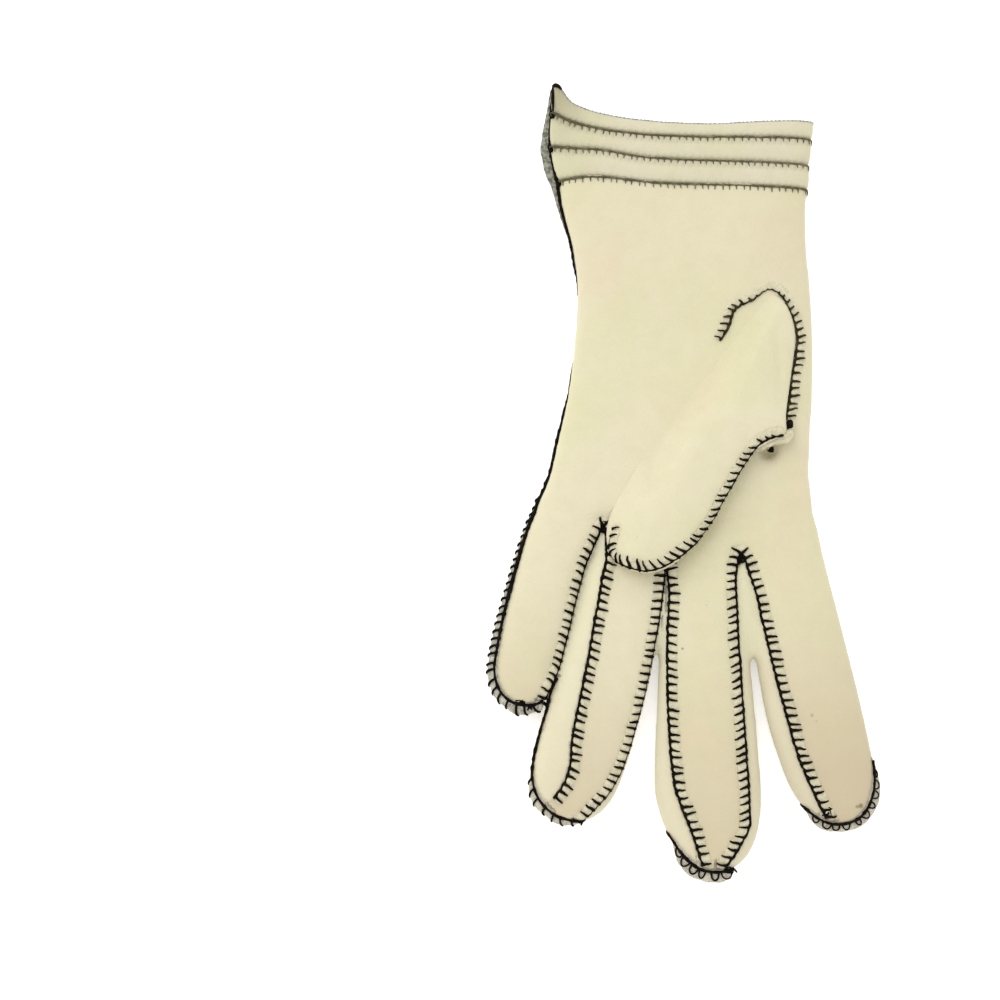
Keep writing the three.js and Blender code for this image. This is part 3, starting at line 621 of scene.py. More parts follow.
LOOP = table_of(
    "across out over along thick",
    (-0.62, 0.1, 0.0, -0.95, 1.0),
    (-0.64, 0.35, 0.0, -0.85, 0.8),
    (-0.6, 0.68, 0.0, -0.62, 0.72),
    (-0.5, 0.84, 0.0, 0.0, 0.74),
    (-0.6, 0.66, 0.0, 0.6, 0.72),
    (-0.64, 0.33, 0.0, 0.78, 0.8),
    (-0.62, 0.1, 0.0, 0.85, 1.0),
)  # up one face of edges that stand out, and back
STROKE = table_of(
    "across out over along thick",
    (-0.66, 0.0, 0.05, 0.0, 0.9),
    (-0.64, 0.5, 0.05, 0.2, 1.0),
    (-0.5, 0.85, 0.1, 0.5, 1.05),
    (-0.2, 1.0, 0.12, 0.8, 1.0),
    (0.2, 1.0, 0.05, 1.0, 0.8),
)  # one slanting stitch up a face of such edges and over them
LINE_STEPS = (
    (-0.8, 0.2, 0.25, 0.95),
    (-0.05, 1.0, 0.4, 1.45),
    (0.7, -1.1, 0.2, 1.0),
)  # along in mm, aside as a share of the wave, out as a share of the rise, and thickness
JITTER = 0.14  # how far a stitch strays along its seam, as a share of the pitch
STRAY = 0.16  # mm, how far a seam strays aside
LEAST = 0.15  # share of the full size below which thread is left out
chance = random.Random(7)


def steps_between(first, last, step):
    count = max(round(abs(last - first) / step), 1)
    return [blend(first, last, i / count) for i in range(count + 1)]


def spread(values, share):
    """Value at a share of the way along evenly spaced values."""
    at = min(max(share, 0), 1) * (len(values) - 1)
    i = min(int(at), len(values) - 2)
    return blend(values[i], values[i + 1], at - i)


def evenly(points, step):
    """The same line with its places evenly spaced."""
    runs = [0.0]
    for a, b in zip(points, points[1:]):
        runs.append(runs[-1] + (b - a).length)
    count = max(round(runs[-1] / step), 1)
    spaced, i = [], 0
    for k in range(count + 1):
        run = runs[-1] * k / count
        while i < len(runs) - 2 and runs[i + 1] < run:
            i += 1
        share = (run - runs[i]) / max(runs[i + 1] - runs[i], 1e-12)
        spaced.append(points[i].lerp(points[i + 1], share))
    return spaced


def through(points, step):
    """Evenly spaced places on a smooth line through points."""
    points = [Vector(p) for p in points]
    last = len(points) - 1
    fine = []
    for i in range(last):
        a, b, c, d = points[max(i - 1, 0)], points[i], points[i + 1], points[min(i + 2, last)]
        for k in range(8):
            t = k / 8
            bend = (2 * a - 5 * b + 4 * c - d) * t**2 + (3 * b - a - 3 * c + d) * t**3
            fine.append((2 * b + (c - a) * t + bend) / 2)
    return evenly([*fine, points[last]], step)


def eased(vectors, reach):
    """Directions that change gently from one to the next."""
    count = len(vectors)
    return [
        sum(vectors[max(i - reach, 0):min(i + reach + 1, count)], Vector((0, 0, 0))).normalized()
        for i in range(count)
    ]


def framed(places, outs, way, sizes):
    """Frames of a seam: a place, the way its raw edges stand, the way across them, their size."""
    frames = []
    last = len(places) - 1
    for i, (at, out, size) in enumerate(zip(places, outs, sizes)):
        along = (places[min(i + 1, last)] - places[max(i - 1, 0)]).normalized()
        side = along.cross(out).normalized()
        frames.append((at, side.cross(along).normalized(), side * way, size))
    return frames


def laid(line, surface, way):
    """Frames of a seam that stands up from the suede beside a line of thread drawn in plan."""
    fine = through(line, STEP)
    last = len(fine) - 1
    shifted = []
    for i, point in enumerate(fine):
        along = (fine[min(i + 2, last)] - fine[max(i - 2, 0)]).normalized()
        shifted.append(point + Vector((along.y, -along.x)) * way * LINE_AWAY * EDGE_WIDTH)
    hits = [surface.ray_cast(placed(p.x, p.y, HIGH), DOWN)[0] for p in evenly(shifted, STEP)]
    places = evenly([hit for hit in hits if hit], STEP * MM)
    outs = eased([surface.find_nearest(p)[1] for p in places], 5)
    return framed(places, outs, way, [(EDGE_WIDTH, EDGE_RISE)] * len(places))


def outstanding(line, shapes, surface):
    """Frames of a seam whose raw edges stand out sideways, along a line round the glove's side.

    The shapes, spread evenly along the line, are each a width, a rise and a share of droop.
    """
    fine = through([placed(*p) for p in line], STEP * MM)
    places = evenly([surface.find_nearest(p)[0] for p in fine], STEP * MM)
    last = len(places) - 1
    outs, sizes = [], []
    for i, _ in enumerate(places):
        along = places[min(i + 2, last)] - places[max(i - 2, 0)]
        outward = along.cross(UP).normalized()
        width, rise, droop = (spread(values, i / last) for values in zip(*shapes))
        outs.append(outward * (1 - droop) - UP * droop)
        sizes.append((width, rise))
    return framed(places, eased(outs, 4), 1, sizes)


class Seam:
    """A sewn line with the places of its stitches."""

    def __init__(self, frames, pitch=PITCH):
        self.frames = frames
        self.length = STEP * (len(frames) - 1)
        count = max(round(self.length / pitch), 1)
        jitter = [chance.uniform(-JITTER, JITTER) for _ in range(count)]
        self.marks = [(i + 0.5 + j) * self.length / count for i, j in enumerate(jitter)]
        self.phase = chance.uniform(0, 100)

    def spot(self, run, across, out, over=0.0):
        """A place across and out of the raw edges, by shares of their size and mm beyond them."""
        place = min(max(run / STEP, 0), len(self.frames) - 1.001)
        i = int(place)
        share = place - i
        at, up, side, size = self.frames[i]
        next_at, next_up, next_side, next_size = self.frames[i + 1]
        stray = STRAY * noise.noise(Vector((run / 6, self.phase, 0)))
        width = blend(size[0], next_size[0], share) * across + stray
        reach = blend(size[1], next_size[1], share) * out + over
        turned = side.lerp(next_side, share) * width + up.lerp(next_up, share) * reach
        return at.lerp(next_at, share) + turned * MM

    def number(self, run):
        """Stitches up to a place, with the part of the way to the next one."""
        marks = self.marks
        if run <= marks[0] or len(marks) < 2:
            return (run - marks[0]) / PITCH
        for i in range(len(marks) - 1):
            if run < marks[i + 1]:
                return i + (run - marks[i]) / (marks[i + 1] - marks[i])
        return len(marks) - 1 + (run - marks[-1]) / PITCH

    def raw_edges(self, mesh, shape, tall=(1.0, 1.0), pinched=0.24):
        """The two cut edges, drawn in a little by every stitch and lower at the seam's ends."""
        rings = []
        for i in range(len(self.frames)):
            run = i * STEP
            ends = blend(LOW_END, 1, ease(min(run, self.length - run), 0, END_RUN))
            pinch = 0.5 + 0.5 * cos(2 * pi * self.number(run))
            wide = (1 - 0.6 * pinched * pinch) * (0.6 + 0.4 * ends)
            rough = 1 - pinched * pinch + 0.1 * noise.noise(Vector((run / 3, self.phase, 5)))
            high = ends * rough * spread(tall, run / self.length)
            rings.append([self.spot(run, s * wide, r * high) for s, r in shape])
        tube(mesh, rings)

    def teeth(self, thread, shape, slants=(0.45, 0.45), sizes=(1.0, 1.0), size=1.0, least=0.0):
        """The stitches over the raw edges, left out where these rise less than a given height."""
        for mark in self.marks:
            big = spread(sizes, mark / self.length) * chance.uniform(0.88, 1.1)
            rise = self.frames[int(mark / STEP)][3][1]
            if big < LEAST or rise < least:
                continue
            lean = spread(slants, mark / self.length) + chance.gauss(0, 0.2)
            path = []
            fat = size * blend(0.6, 1, big) * chance.uniform(0.85, 1.15)
            for row in shape:
                across = -LINE_AWAY + (row["across"] + LINE_AWAY) * big + chance.gauss(0, 0.03)
                run = mark + row["along"] * lean * big + chance.gauss(0, 0.07) * size
                path.append((self.spot(run, across, row["out"], row["over"] * size), fat * row["thick"]))
            strand(thread, path)

    def line(self, thread, size=1.0, sizes=(1.0, 1.0), across=-LINE_AWAY, wave=0.07, out=None):
        """The thread along the foot of the raw edges, left out where its size comes to nothing."""
        path = []
        for mark in [*self.marks, None]:
            thick = 0 if mark is None else size * spread(sizes, mark / self.length)
            if thick < LEAST:
                if len(path) > 3:
                    strand(thread, path)
                path = []
                continue
            for along, aside, high, fat in LINE_STEPS:
                away = across + wave * (aside + chance.uniform(-0.7, 0.7))
                fat *= chance.uniform(0.72, 1.3)
                place = self.spot(mark + along, away, high if out is None else out, 0.1 * size)
                path.append((place, thick * fat))


def strand(thread, path):
    """A length of thread through places, with its thickness at each."""
    spline = thread.splines.new("NURBS")
    spline.points.add(len(path) - 1)
    for point, (place, thick) in zip(spline.points, path):
        point.co = (*place, 1)
        point.radius = thick * chance.uniform(0.94, 1.06)
    spline.order_u = 3
    spline.use_endpoint_u = True
    spline.resolution_u = 2


def knot(thread, at, reach, turns, size=1.0, height=0.5):
    """Ends of thread tied off in a few short crossing loops."""
    for i in range(turns):
        angle = pi * (i + chance.uniform(-0.3, 0.3)) / turns
        arm = Vector((cos(angle), sin(angle), 0)) * reach * MM * chance.uniform(0.55, 1.05)
        bow = Vector((-arm.y, arm.x, 0)) * chance.uniform(-1.0, 1.0)
        middle = at + Vector((chance.uniform(-0.4, 0.4), chance.uniform(-0.4, 0.4), 0)) * reach * MM
        rise = UP * height * MM * chance.uniform(0.6, 1.3)
        path = [middle - arm, middle - arm * 0.6 + bow * 0.5 + rise * 0.7, middle + bow + rise]
        path += [middle + arm * 0.6 + bow * 0.5 + rise * 0.7, middle + arm]
        strand(thread, [(place, size * thick) for place, thick in zip(path, (0.6, 0.95, 1.1, 0.95, 0.6))])


def new_thread():
    thread = bpy.data.curves.new("thread", "CURVE")
    thread.dimensions = "3D"
    thread.bevel_depth = THREAD * MM
    thread.bevel_resolution = 1
    thread.use_fill_caps = True
    return thread


WORN_FROM_TO = (0.05, 0.095)  # m towards the cuff, where the outer edges are the most worn
WORN_GREY = linear(146, 147, 132)
FLECK_GREY = linear(88, 88, 74)


def cut_edge_paint(name, pale, dark, fibre, fibres, worn=0.0):
    """The cut face of the suede, with patches and loose fibres, and worn darker at the cuff."""
    paint, shader, spot = paint_of(name, 0.9)
    hairs = spot.noise(1500, 3, 0.7)
    patches = spot.noise(420, 2)
    colour = patches.ramp(0.35, 0.68).mix((*pale, 1), (*dark, 1))
    up_the_cuff = spot.node("ShaderNodeSeparateXYZ", {}, {0: spot}, "Y").ramp(*WORN_FROM_TO)
    colour = (up_the_cuff * worn).mix(colour, (*WORN_GREY, 1))
    flecks = spot.noise(850, 2).ramp(0.42, 0.6) * up_the_cuff * worn
    colour = flecks.mix(colour, (*FLECK_GREY, 1))
    colour = (hairs.ramp(0.46, 0.66) * fibres).mix(colour, (*fibre, 1))
    colour.into(shader, "Base Color")
    bumped(hairs * 0.3, shader)
    return paint


def thread_paint(name, fresh, worn):
    paint, shader, spot = paint_of(name, 0.8)
    shader.inputs["Specular IOR Level"].default_value = 0.08
    wear = spot.noise(420, 3)
    ply = spot.noise(2600, 2)
    wear.ramp(0.45, 0.8).mix((*fresh, 1), (*worn, 1)).into(shader, "Base Color")
    bumped(ply * 0.2, shader)
    return paint


cream_edge = cut_edge_paint(
    "cream_edge", linear(211, 204, 174), linear(201, 194, 163), linear(150, 140, 112), 0.35
)
# The tips' and the outer side's raw edges are greyer than those on the palm. This is partly their own worn
# colour and partly painted shade on their steep outer faces.
pale_edge = cut_edge_paint(
    "pale_edge", linear(203, 196, 176), linear(180, 174, 158), linear(112, 108, 94), 0.6
)
outer_edge = cut_edge_paint(
    "outer_edge", linear(194, 190, 174), linear(162, 158, 144), linear(84, 80, 68), 0.7, 0.9
)
black_thread = thread_paint("black_thread", linear(10, 7, 4), linear(30, 24, 13))
worn_thread = thread_paint("worn_thread", linear(88, 83, 62), linear(130, 123, 100))
faded_thread = thread_paint("faded_thread", linear(40, 35, 18), linear(80, 74, 48))
PIECE_OF_GLOVE = "root"


def finish_piece(piece, paint):
    piece.data.materials.append(paint)
    piece.data.polygons.foreach_set("use_smooth", [True] * len(piece.data.polygons))
    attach(piece, PIECE_OF_GLOVE)


def edged(name, mesh, paint):
    """The raw edges of some seams as one piece."""
    bmesh.ops.recalc_face_normals(mesh, faces=mesh.faces)
    finish_piece(object_of(name, mesh), paint)


def stitched(name, thread, paint):
    """The thread of some seams as one piece."""
    curve = shown("thread", thread)
    made = bpy.data.meshes.new_from_object(curve.evaluated_get(bpy.context.evaluated_depsgraph_get()))
    made.name = name
    bpy.data.objects.remove(curve)
    bpy.data.curves.remove(thread)
    made.materials.clear()
    finish_piece(shown(name, made), paint)


# Where the seams of the hand and the fingers run. A strip's palm seam goes up one finger, round
# the crotch and down the next. The back seams and the tips' seams run round each finger's edge.
STRIP_START = 5.0  # mm, where a strip's seams leave its crotch
STRIPS = {
    "little_ring": ("little", "ring", (-24.2, -13.6), (53, 81), ((-42.5, -76.5), (-56, -80), (-56, -104))),
    "ring_middle": ("ring", "middle", (-5.2, -22.6), (86, 94.5), ((-26, -114), (-4, -130), (3, -130))),
    "middle_index": ("middle", "index", (18.0, -22.2), (95, 83), ((11, -130), (22, -128), (38, -114))),
}


def seam_plan(strip):
    """Points of a strip's palm seam, in plan."""
    left, right, crotch, ends, _ = strip
    left, right = FINGERS[left], FINGERS[right]
    up = [left.spot(d, left.value("seam_right", d)) for d in steps_between(ends[0], STRIP_START, 6)]
    down = [right.spot(d, right.value("seam_left", d)) for d in steps_between(STRIP_START, ends[1], 6)]
    return [*up, Vector(crotch), *down]


strip_seams = {name: Seam(laid(seam_plan(strip), ground, -1)) for name, strip in STRIPS.items()}


def edge_line(limb, first, last):
    """Points round the edge of a finger, from one distance on its left to another on its right."""
    step = 5.0
    left = steps_between(first, limb.shoulder, step) if first < limb.shoulder else []
    right = steps_between(limb.shoulder, last, step) if last < limb.shoulder else []
    points = [limb.spot(d, limb.edges(d)[0]) for d in left]
    turn_from = 0.0 if left else acos(limb.share(first))
    turn_to = pi if right else pi - acos(limb.share(last))
    for angle in steps_between(turn_from, turn_to, pi / 16)[1 if left else 0:]:
        side = cos(angle)
        into = (1 - min(abs(side), 1) ** TIP_POWER) ** (1 / TIP_POWER)
        distance = blend(limb.shoulder, limb.length, into)
        points.append(limb.spot(distance, limb.edges(distance)[0 if side > 0 else 1]))
    return points + [limb.spot(d, limb.edges(d)[1]) for d in right[1:]]


RIM_LEVEL = 4.7  # mm
RIM_WIDTH = 2.2
RIM_DROOP = 0.06
RIM_RISES = {"ring": 2.6, "middle": 3.6, "index": 2.7}  # mm that the raw edges stand out at a tip
LINE_SHAPE = (1.4, 0.4, 0.1)  # mm wide, mm out and droop where little but the line of thread shows
SIDE_SHAPE = (1.2, 0.4, 0.6)  # and under a finger's side
SIDE_LEVEL = 0.5
SIDE_TUCK = 2.4  # mm, how far under the finger the seams of its sides run
EDGE_STEP = 2.0  # mm
TIP_PITCH = 3.1
TIP_NEAR = 0.5
EDGE_SEAMS = {
    "ring": ((8, 8), (42, 48), (75, 84), (83, 85.6), (83, 85.6)),
    "middle": ((8, 8), (81, 86), (86, 93), (94.4, 95.5), (94.4, 95.5)),
    "index": ((8, 67), (74, 79), (78, 83), (0, 1), (66, 79)),
}  # mm along the finger: the ends, where the line comes out and where the rim rises, left and right


def blended(first, second, share):
    return tuple(blend(a, b, share) for a, b in zip(first, second))


def finger_edge_seam(name):
    """The seam round a finger's tip, which goes under the finger at both ends."""
    ends, line_left, rim_left, line_right, rim_right = EDGE_SEAMS[name]
    limb = FINGERS[name]
    tip_shape = (RIM_WIDTH, RIM_RISES[name], RIM_DROOP)
    line, shapes = [], []
    passed = False
    for p in through(edge_line(limb, *ends), EDGE_STEP):
        distance, offset = (p - limb.root).dot(limb.axis), (p - limb.root).dot(limb.across)
        passed = passed or distance > limb.length - TIP_NEAR
        bare = ease(distance, *(line_right if passed else line_left))
        rim = ease(distance, *(rim_right if passed else rim_left))
        p = p - limb.across * copysign(SIDE_TUCK * (1 - bare), offset)
        line.append((p.x, p.y, blend(SIDE_LEVEL, RIM_LEVEL, bare)))
        shapes.append(blended(blended(SIDE_SHAPE, LINE_SHAPE, bare), tip_shape, rim))
    return Seam(outstanding(line, shapes, ground), TIP_PITCH)


# The side seam runs down the outer side from the cuff's turned-up corner to the little finger's
# tip. It goes under the glove at the wrist. Its raw edges stand out furthest at the cuff.
OUTER_EDGES = table_of(
    "y level width rise droop",
    (130, 11.6, 1.4, 0.6, 0.0),
    (120, 9.5, 1.8, 1.6, 0.0),
    (114, 8.2, 2.0, 2.5, 0.0),
    (107, 6.4, 2.0, 3.4, 0.0),
    (100, 4.6, 2.0, 3.4, 0.0),
    (95, 3.8, 2.0, 2.3, 0.0),
    (88, 3.4, 1.8, 1.3, 0.05),
    (76, 2.6, 1.6, 0.8, 0.4),
    (62, 1.0, 1.2, 0.5, 0.85),
    (34, 1.0, 1.2, 0.4, 0.85),
    (18, 2.6, 1.2, 0.5, 0.5),
    (4, 3.0, 1.2, 0.6, 0.4),
    (-6, 3.4, 1.5, 1.1, 0.25),
    (-18, 4.0, 1.7, 1.4, 0.12),
    (-34, 4.4, 1.9, 1.8, 0.08),
    (-50, 4.6, 2.1, 2.4, 0.06),
    (-80, 4.6, 2.2, 2.9, 0.06),
)
LITTLE_TIP = (-50.3, -70.0)
LITTLE_CORNER = 2.2  # mm, how much further the raw edges stand out at the little finger's tip
LITTLE_SPREAD = 3  # square mm
LITTLE_ENDS = (1, 52.5)  # mm along its left edge, where the seam comes, and its right, where it ends
SIDE_PLACES = (88, 82, 76, 68, 60, 50, 40, 30, 20, 10, 0)  # y of points on the hand's edge


def side_seam():
    line = [(row["left"], row["y"] + climb(row, row["left"])) for row in reversed(CUFF)]
    line += [(hand_row(y)["left"], y) for y in SIDE_PLACES]
    line += edge_line(FINGERS["little"], *LITTLE_ENDS)
    levelled, shapes = [], []
    for x, y in through(line, EDGE_STEP):
        values = {field: column(OUTER_EDGES, "y", field, y) for field in OUTER_EDGES[0]}
        away = (x - LITTLE_TIP[0]) ** 2 + (y - LITTLE_TIP[1]) ** 2
        corner = LITTLE_CORNER * exp(-away / LITTLE_SPREAD)
        levelled.append((x, y, values["level"]))
        shapes.append((values["width"], values["rise"] + corner, values["droop"]))
    return Seam(outstanding(levelled, shapes, cuffed_ground))


def cuffed(rows):
    """A skin over the hand and the cuff together, along which the side seam runs."""
    whole = bmesh.new()
    tube(whole, [cuff_ring(row) for row in reversed(rows)] + hand_rings()[2:])
    tube(whole, finger_rings(FINGERS["little"]))
    bmesh.ops.recalc_face_normals(whole, faces=whole.faces)
    return BVHTree.FromBMesh(whole)


cuffed_ground = cuffed(CUFF)
edge_seams = {name: finger_edge_seam(name) for name in EDGE_SEAMS}
outer_seam = side_seam()

# Every point of the skin knows how far it is from the nearest seam, which stitch it is at, and
# how tan it is. On the cuff's bands that last value is painted shade at the turned-up corner.
TAN_OF = {
    "little": (0.4, 10, 60),
    "ring": (0.65, 25, 90),
    "middle": (0.7, 5, 105),
    "index": (1.0, 5, 92),
}  # share at the tip, and from and to along the finger, mm
TAN_LEAST = 0.05
TAN_DRIFT = 0.12  # more at the index side, and as much more towards the cuff
TAN_ACROSS = (10, 42)  # mm across the palm, from where to where it rises
TAN_UP = (30, 80)  # mm towards the cuff
GAP_MOST = 12.0  # mm
RAW_REACH = 0.9  # mm, from a seam's middle to where the plain suede begins
FINGER_MARGIN = 2  # mm


def finger_at(x, y):
    """The finger that a point of the plan is on, and how far along it."""
    for name, limb in FINGERS.items():
        away = Vector((x, y)) - limb.root
        distance, offset = away.dot(limb.axis), away.dot(limb.across)
        left, right = limb.value("left", distance), limb.value("right", distance)
        if distance > 0 and left - FINGER_MARGIN < offset < right + FINGER_MARGIN:
            return name, distance
    return None, 0.0


def mark_seams(mesh, seams, tan_and_shade):
    """Writes gap, stitch and tan_and_shade on the points of a skin: how tan it is, and on the cuff how
    much painted shade it has.
    """
    gap_layer = mesh.verts.layers.float.new("gap")
    stitch_layer = mesh.verts.layers.float.new("stitch")
    tan_and_shade_layer = mesh.verts.layers.float.new("tan_and_shade")
    spots = [(seam, i * STEP, frame[0]) for seam in seams for i, frame in enumerate(seam.frames)]
    tree = KDTree(len(spots))
    for i, (_, _, at) in enumerate(spots):
        tree.insert(at, i)
    tree.balance()
    for point in mesh.verts:
        _, i, away = tree.find(point.co)
        seam, run, _ = spots[i]
        point[gap_layer] = min(max(away / MM - RAW_REACH, 0), GAP_MOST)
        point[stitch_layer] = seam.number(run)
        point[tan_and_shade_layer] = tan_and_shade(drawn_at(point.co))


def tan_of_hand(spot):
    """How tan the suede of the hand and the fingers is at a point of the drawing."""
    name, distance = finger_at(spot.x, spot.y)
    base = TAN_DRIFT * ease(spot.x, *TAN_ACROSS) + TAN_DRIFT * ease(spot.y, *TAN_UP)
    if name is None:
        return base + TAN_LEAST
    most, low, high = TAN_OF[name]
    return base + TAN_LEAST + most * ease(distance, low, high)


mark_seams(form, [*strip_seams.values(), *edge_seams.values(), outer_seam], tan_of_hand)

# The trank is one large piece of suede: the palm, the back and most of each finger, cut out flat
# and folded over at the index side. It ends at the cuff's lowest line, at the side strips and at
# the thumb hole. The side strips are narrow pieces sewn between the fingers.
WALL = 1.2  # mm, suede
BACK_SEAM = 1.8  # mm, height of the seams between the strips and the back
THUMB_ROWS = table_of(
    "along left right base top",
    (0, -3.0, 10.2, 5.0, 11.2),
    (10, -4.8, 14.2, 5.0, 12.2),
    (22, -7.2, 18.2, 5.4, 13.2),
    (33, -8.4, 21.8, 6.2, 14.4),
    (40, -9.2, 24.6, 7.4, 15.4),
    (45, -9.8, 20.8, 8.4, 15.8),
    (50, -10.4, 17.6, 8.7, 15.8),
    (58, -11.0, 16.8, 8.8, 15.8),
    (72, -12.0, 16.0, 8.8, 15.8),
    (82, -12.6, 14.8, 8.8, 15.6),
    (100, -13.0, 13.0, 8.8, 15.0),
)
THUMB = Limb((28.0, 60.6), (-17.1, -27.6), 81, THUMB_ROWS)
THUMB_START = 12.0  # mm, over which the thumb opens out from its heel
THUMB_HEEL = 1.4  # the heel's middle, as an offset from the thumb's middle line
THUMB_POINT = 0.6  # half the heel's width
THUMB_FLATNESS = 0.3  # least share of the full width that the heel's height goes by
THUMB_FOLD = (0.02, 1.3)  # the thumb's fold lies flatter on the palm than its sewn edge
THUMB_UNDER = 2.2  # roundness of its underside
FOLD_SINK = 0.02  # mm, under the palm's surface
FOLD_WIDTH = 10.0
FOLD_END = (64, 80)  # mm along the thumb, from where to where its fold comes off the palm
HEEL_SHARES = (0.02, 0.08, 0.2, 0.35, 0.55, 0.8)  # sections of the heel, as shares of THUMB_START
HEEL_POWER = 1.8  # roundness of the heel's upper side
HEEL_RUN = (30, 46)  # mm, from where to where the thumb grows as flat as a finger
THUMB_POINTS = 72
MOUTH = (12.0, 37.0, 6.5, 3.2)  # mm, from and to along the thumb, how far inside its edges
MOUTH_LEVEL = 5.0  # mm above the table, so that the back of the glove stays whole


def thumb_edges(distance):
    """Edges of the thumb, which opens out from its heel and closes at its tip."""
    left, right = THUMB.edges(distance)
    into = min(max(distance / THUMB_START, 0), 1)
    opening = (1 - (1 - into) ** TIP_POWER) ** (1 / TIP_POWER)
    share = min(THUMB.share(distance), max(opening, THUMB_FLATNESS))
    heel_left, heel_right = THUMB_HEEL - THUMB_POINT, THUMB_HEEL + THUMB_POINT
    return blend(heel_left, left, opening), blend(heel_right, right, opening), share


def mouth_outline():
    """Outline of the opening in the palm under the thumb, in plan."""
    start, end, left_inset, right_inset = MOUTH
    left = [THUMB.spot(d, thumb_edges(d)[0] + left_inset) for d in steps_between(start, end, 3)]
    right = [THUMB.spot(d, thumb_edges(d)[1] - right_inset) for d in steps_between(end, start, 3)]
    return [tuple(p) for p in left + right]


def inside(outline, x, y):
    """Whether a point of the plan is inside a closed outline."""
    odd = False
    for (ax, ay), (bx, by) in zip(outline, outline[1:] + outline[:1]):
        if (ay > y) != (by > y) and x < ax + (y - ay) / (by - ay) * (bx - ax):
            odd = not odd
    return odd


strip_outlines = {
    name: [tuple(p) for p in seam_plan(strip)] + list(reversed(strip[4])) for name, strip in STRIPS.items()
}
mouth = mouth_outline()


def panel_of(face):
    """The piece of suede that a face of the skin belongs to."""
    x, y, z = drawn_at(face.calc_center_median())
    if y > CUFF[0]["y"] + climb(CUFF[0], x):
        return None
    if z > BACK_SEAM:
        for name, outline in strip_outlines.items():
            if inside(outline, x, y):
                return name
    if z > MOUTH_LEVEL and inside(mouth, x, y):
        return None
    return "trank"


def leather(name, mesh, node, paint):
    """A finished piece of suede that stands for a piece of the frame."""
    piece = object_of(name, mesh)
    finish_piece(piece, paint)
    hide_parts(node)
    return piece


def thicken(piece):
    """Gives an open piece the real one's thickness, to the inside."""
    wall = piece.modifiers.new("thickness", "SOLIDIFY")
    wall.thickness = WALL * MM
    wall.offset = -1


owners = [panel_of(face) for face in form.faces]


def cut_out(panel):
    """The faces of one piece of suede, cut out of a copy of the skin."""
    part = form.copy()
    part.faces.ensure_lookup_table()
    gone = [part.faces[i] for i, owner in enumerate(owners) if owner != panel]
    bmesh.ops.delete(part, geom=gone, context="FACES")
    return part


thicken(leather("trank_suede", cut_out("trank"), "trank", suede_paint))
strip_suede = suede("strip_suede", linear(217, 211, 181), linear(204, 194, 166), 0.12)
for name in STRIPS:
    strip = leather(f"strip_{name}_suede", cut_out(name), f"fourchette_{name}", strip_suede)
    thicken(strip)


# The seams of the fingers and of the outer side: their raw edges, in cream suede on the palm and
# in grey suede at the tips and the side, where the grey is partly painted shade, and the black
# thread that holds them. Where a strip's line of thread lies on the steep side of a finger it is
# drawn in tight and thin.
def on_top(x, y):
    """The place on the glove, or on its rim, under a point of the plan."""
    hit = ground.ray_cast(placed(x, y, HIGH), DOWN)[0]
    return hit or placed(x, y, RIM_LEVEL + RIM_WIDTH / 2)


STRIP_LINES = {
    "little_ring": (0.5, 0.6, 0.7, 1.1, 1.2, 1.2, 1.2, 1.1, 1.0),
    "ring_middle": (0.4, 0.4, 0.4, 0.5, 1.0, 1.2, 1.2, 1.2, 1.1),
    "middle_index": (1.1, 1.1, 1.1, 1.1, 1.1, 1.1, 1.2, 1.2, 1.1),
}  # thickness, evenly along the seam
STRIP_SLANTS = {
    "little_ring": (0.4, 0.4, 0.2, 0.4, 0.4, 0.4),
    "ring_middle": (-0.4, -0.4, -0.4, 0.4, 0.5, 0.5),
    "middle_index": (-1.0, -1.0, -0.8, 0.2, 0.5, 0.5),
}  # mm, how far the far end of a tooth lies ahead of its near end
OUTER_LINES = (1.5, 1.5, 1.5, 1.5, 1.1, 0.0, 0.0, 0.9, 1.5, 1.7, 1.7, 1.7, 1.5, 1.2, 1.2, 1.2)
OUTER_TRIMS = (0.8, 0.6, 0.5, 0.5, 0.3, 0.0, 0.0, 0.0, 0.0, 0.0, 0.0, 0.0, 0.0, 0.0, 0.0, 0.0)
OUTER_TEETH = (0, 0, 0, 0, 0, 1, 1, 1, 1, 1)  # none at the cuff
RIM_PINCH = 0.03
RIM_FOOT = 0.06  # where the line of thread lies on a rim, as a share of its rise
TIP_STITCHES = {"ring": (STROKE, (1.4, 1.4)), "middle": (LOOP, (1.35, 1.35)), "index": (LOOP, (1.3, 1.3))}
LOOPED = 1.0  # mm, the least rise of standing raw edges that get stitches over them
KNOTS = (
    (-23.7, -14.3, 1.9, 5), (-5.2, -25.4, 1.8, 5), (17.4, -24.2, 1.6, 4), (-32.2, -103.8, 1.7, 4),
    (13.2, -119.2, 1.6, 5), (42.5, -101.5, 1.6, 4), (-41.4, -68.6, 1.5, 4), (-50.2, -68.2, 1.6, 4),
    (-47.2, -69.4, 1.3, 3),
)  # x and y of knots, their reach and their turns
palm_edges, palm_thread = bmesh.new(), new_thread()
for name, seam in strip_seams.items():
    seam.raw_edges(palm_edges, LEANING)
    seam.teeth(palm_thread, TOOTH, STRIP_SLANTS[name], size=1.1)
    seam.line(palm_thread, size=1.1, sizes=STRIP_LINES[name], wave=0.09)
for x, y, reach, turns in KNOTS:
    knot(palm_thread, on_top(x, y), reach, turns)
edged("finger_palm_raw_edges", palm_edges, cream_edge)
stitched("finger_palm_stitches", palm_thread, black_thread)

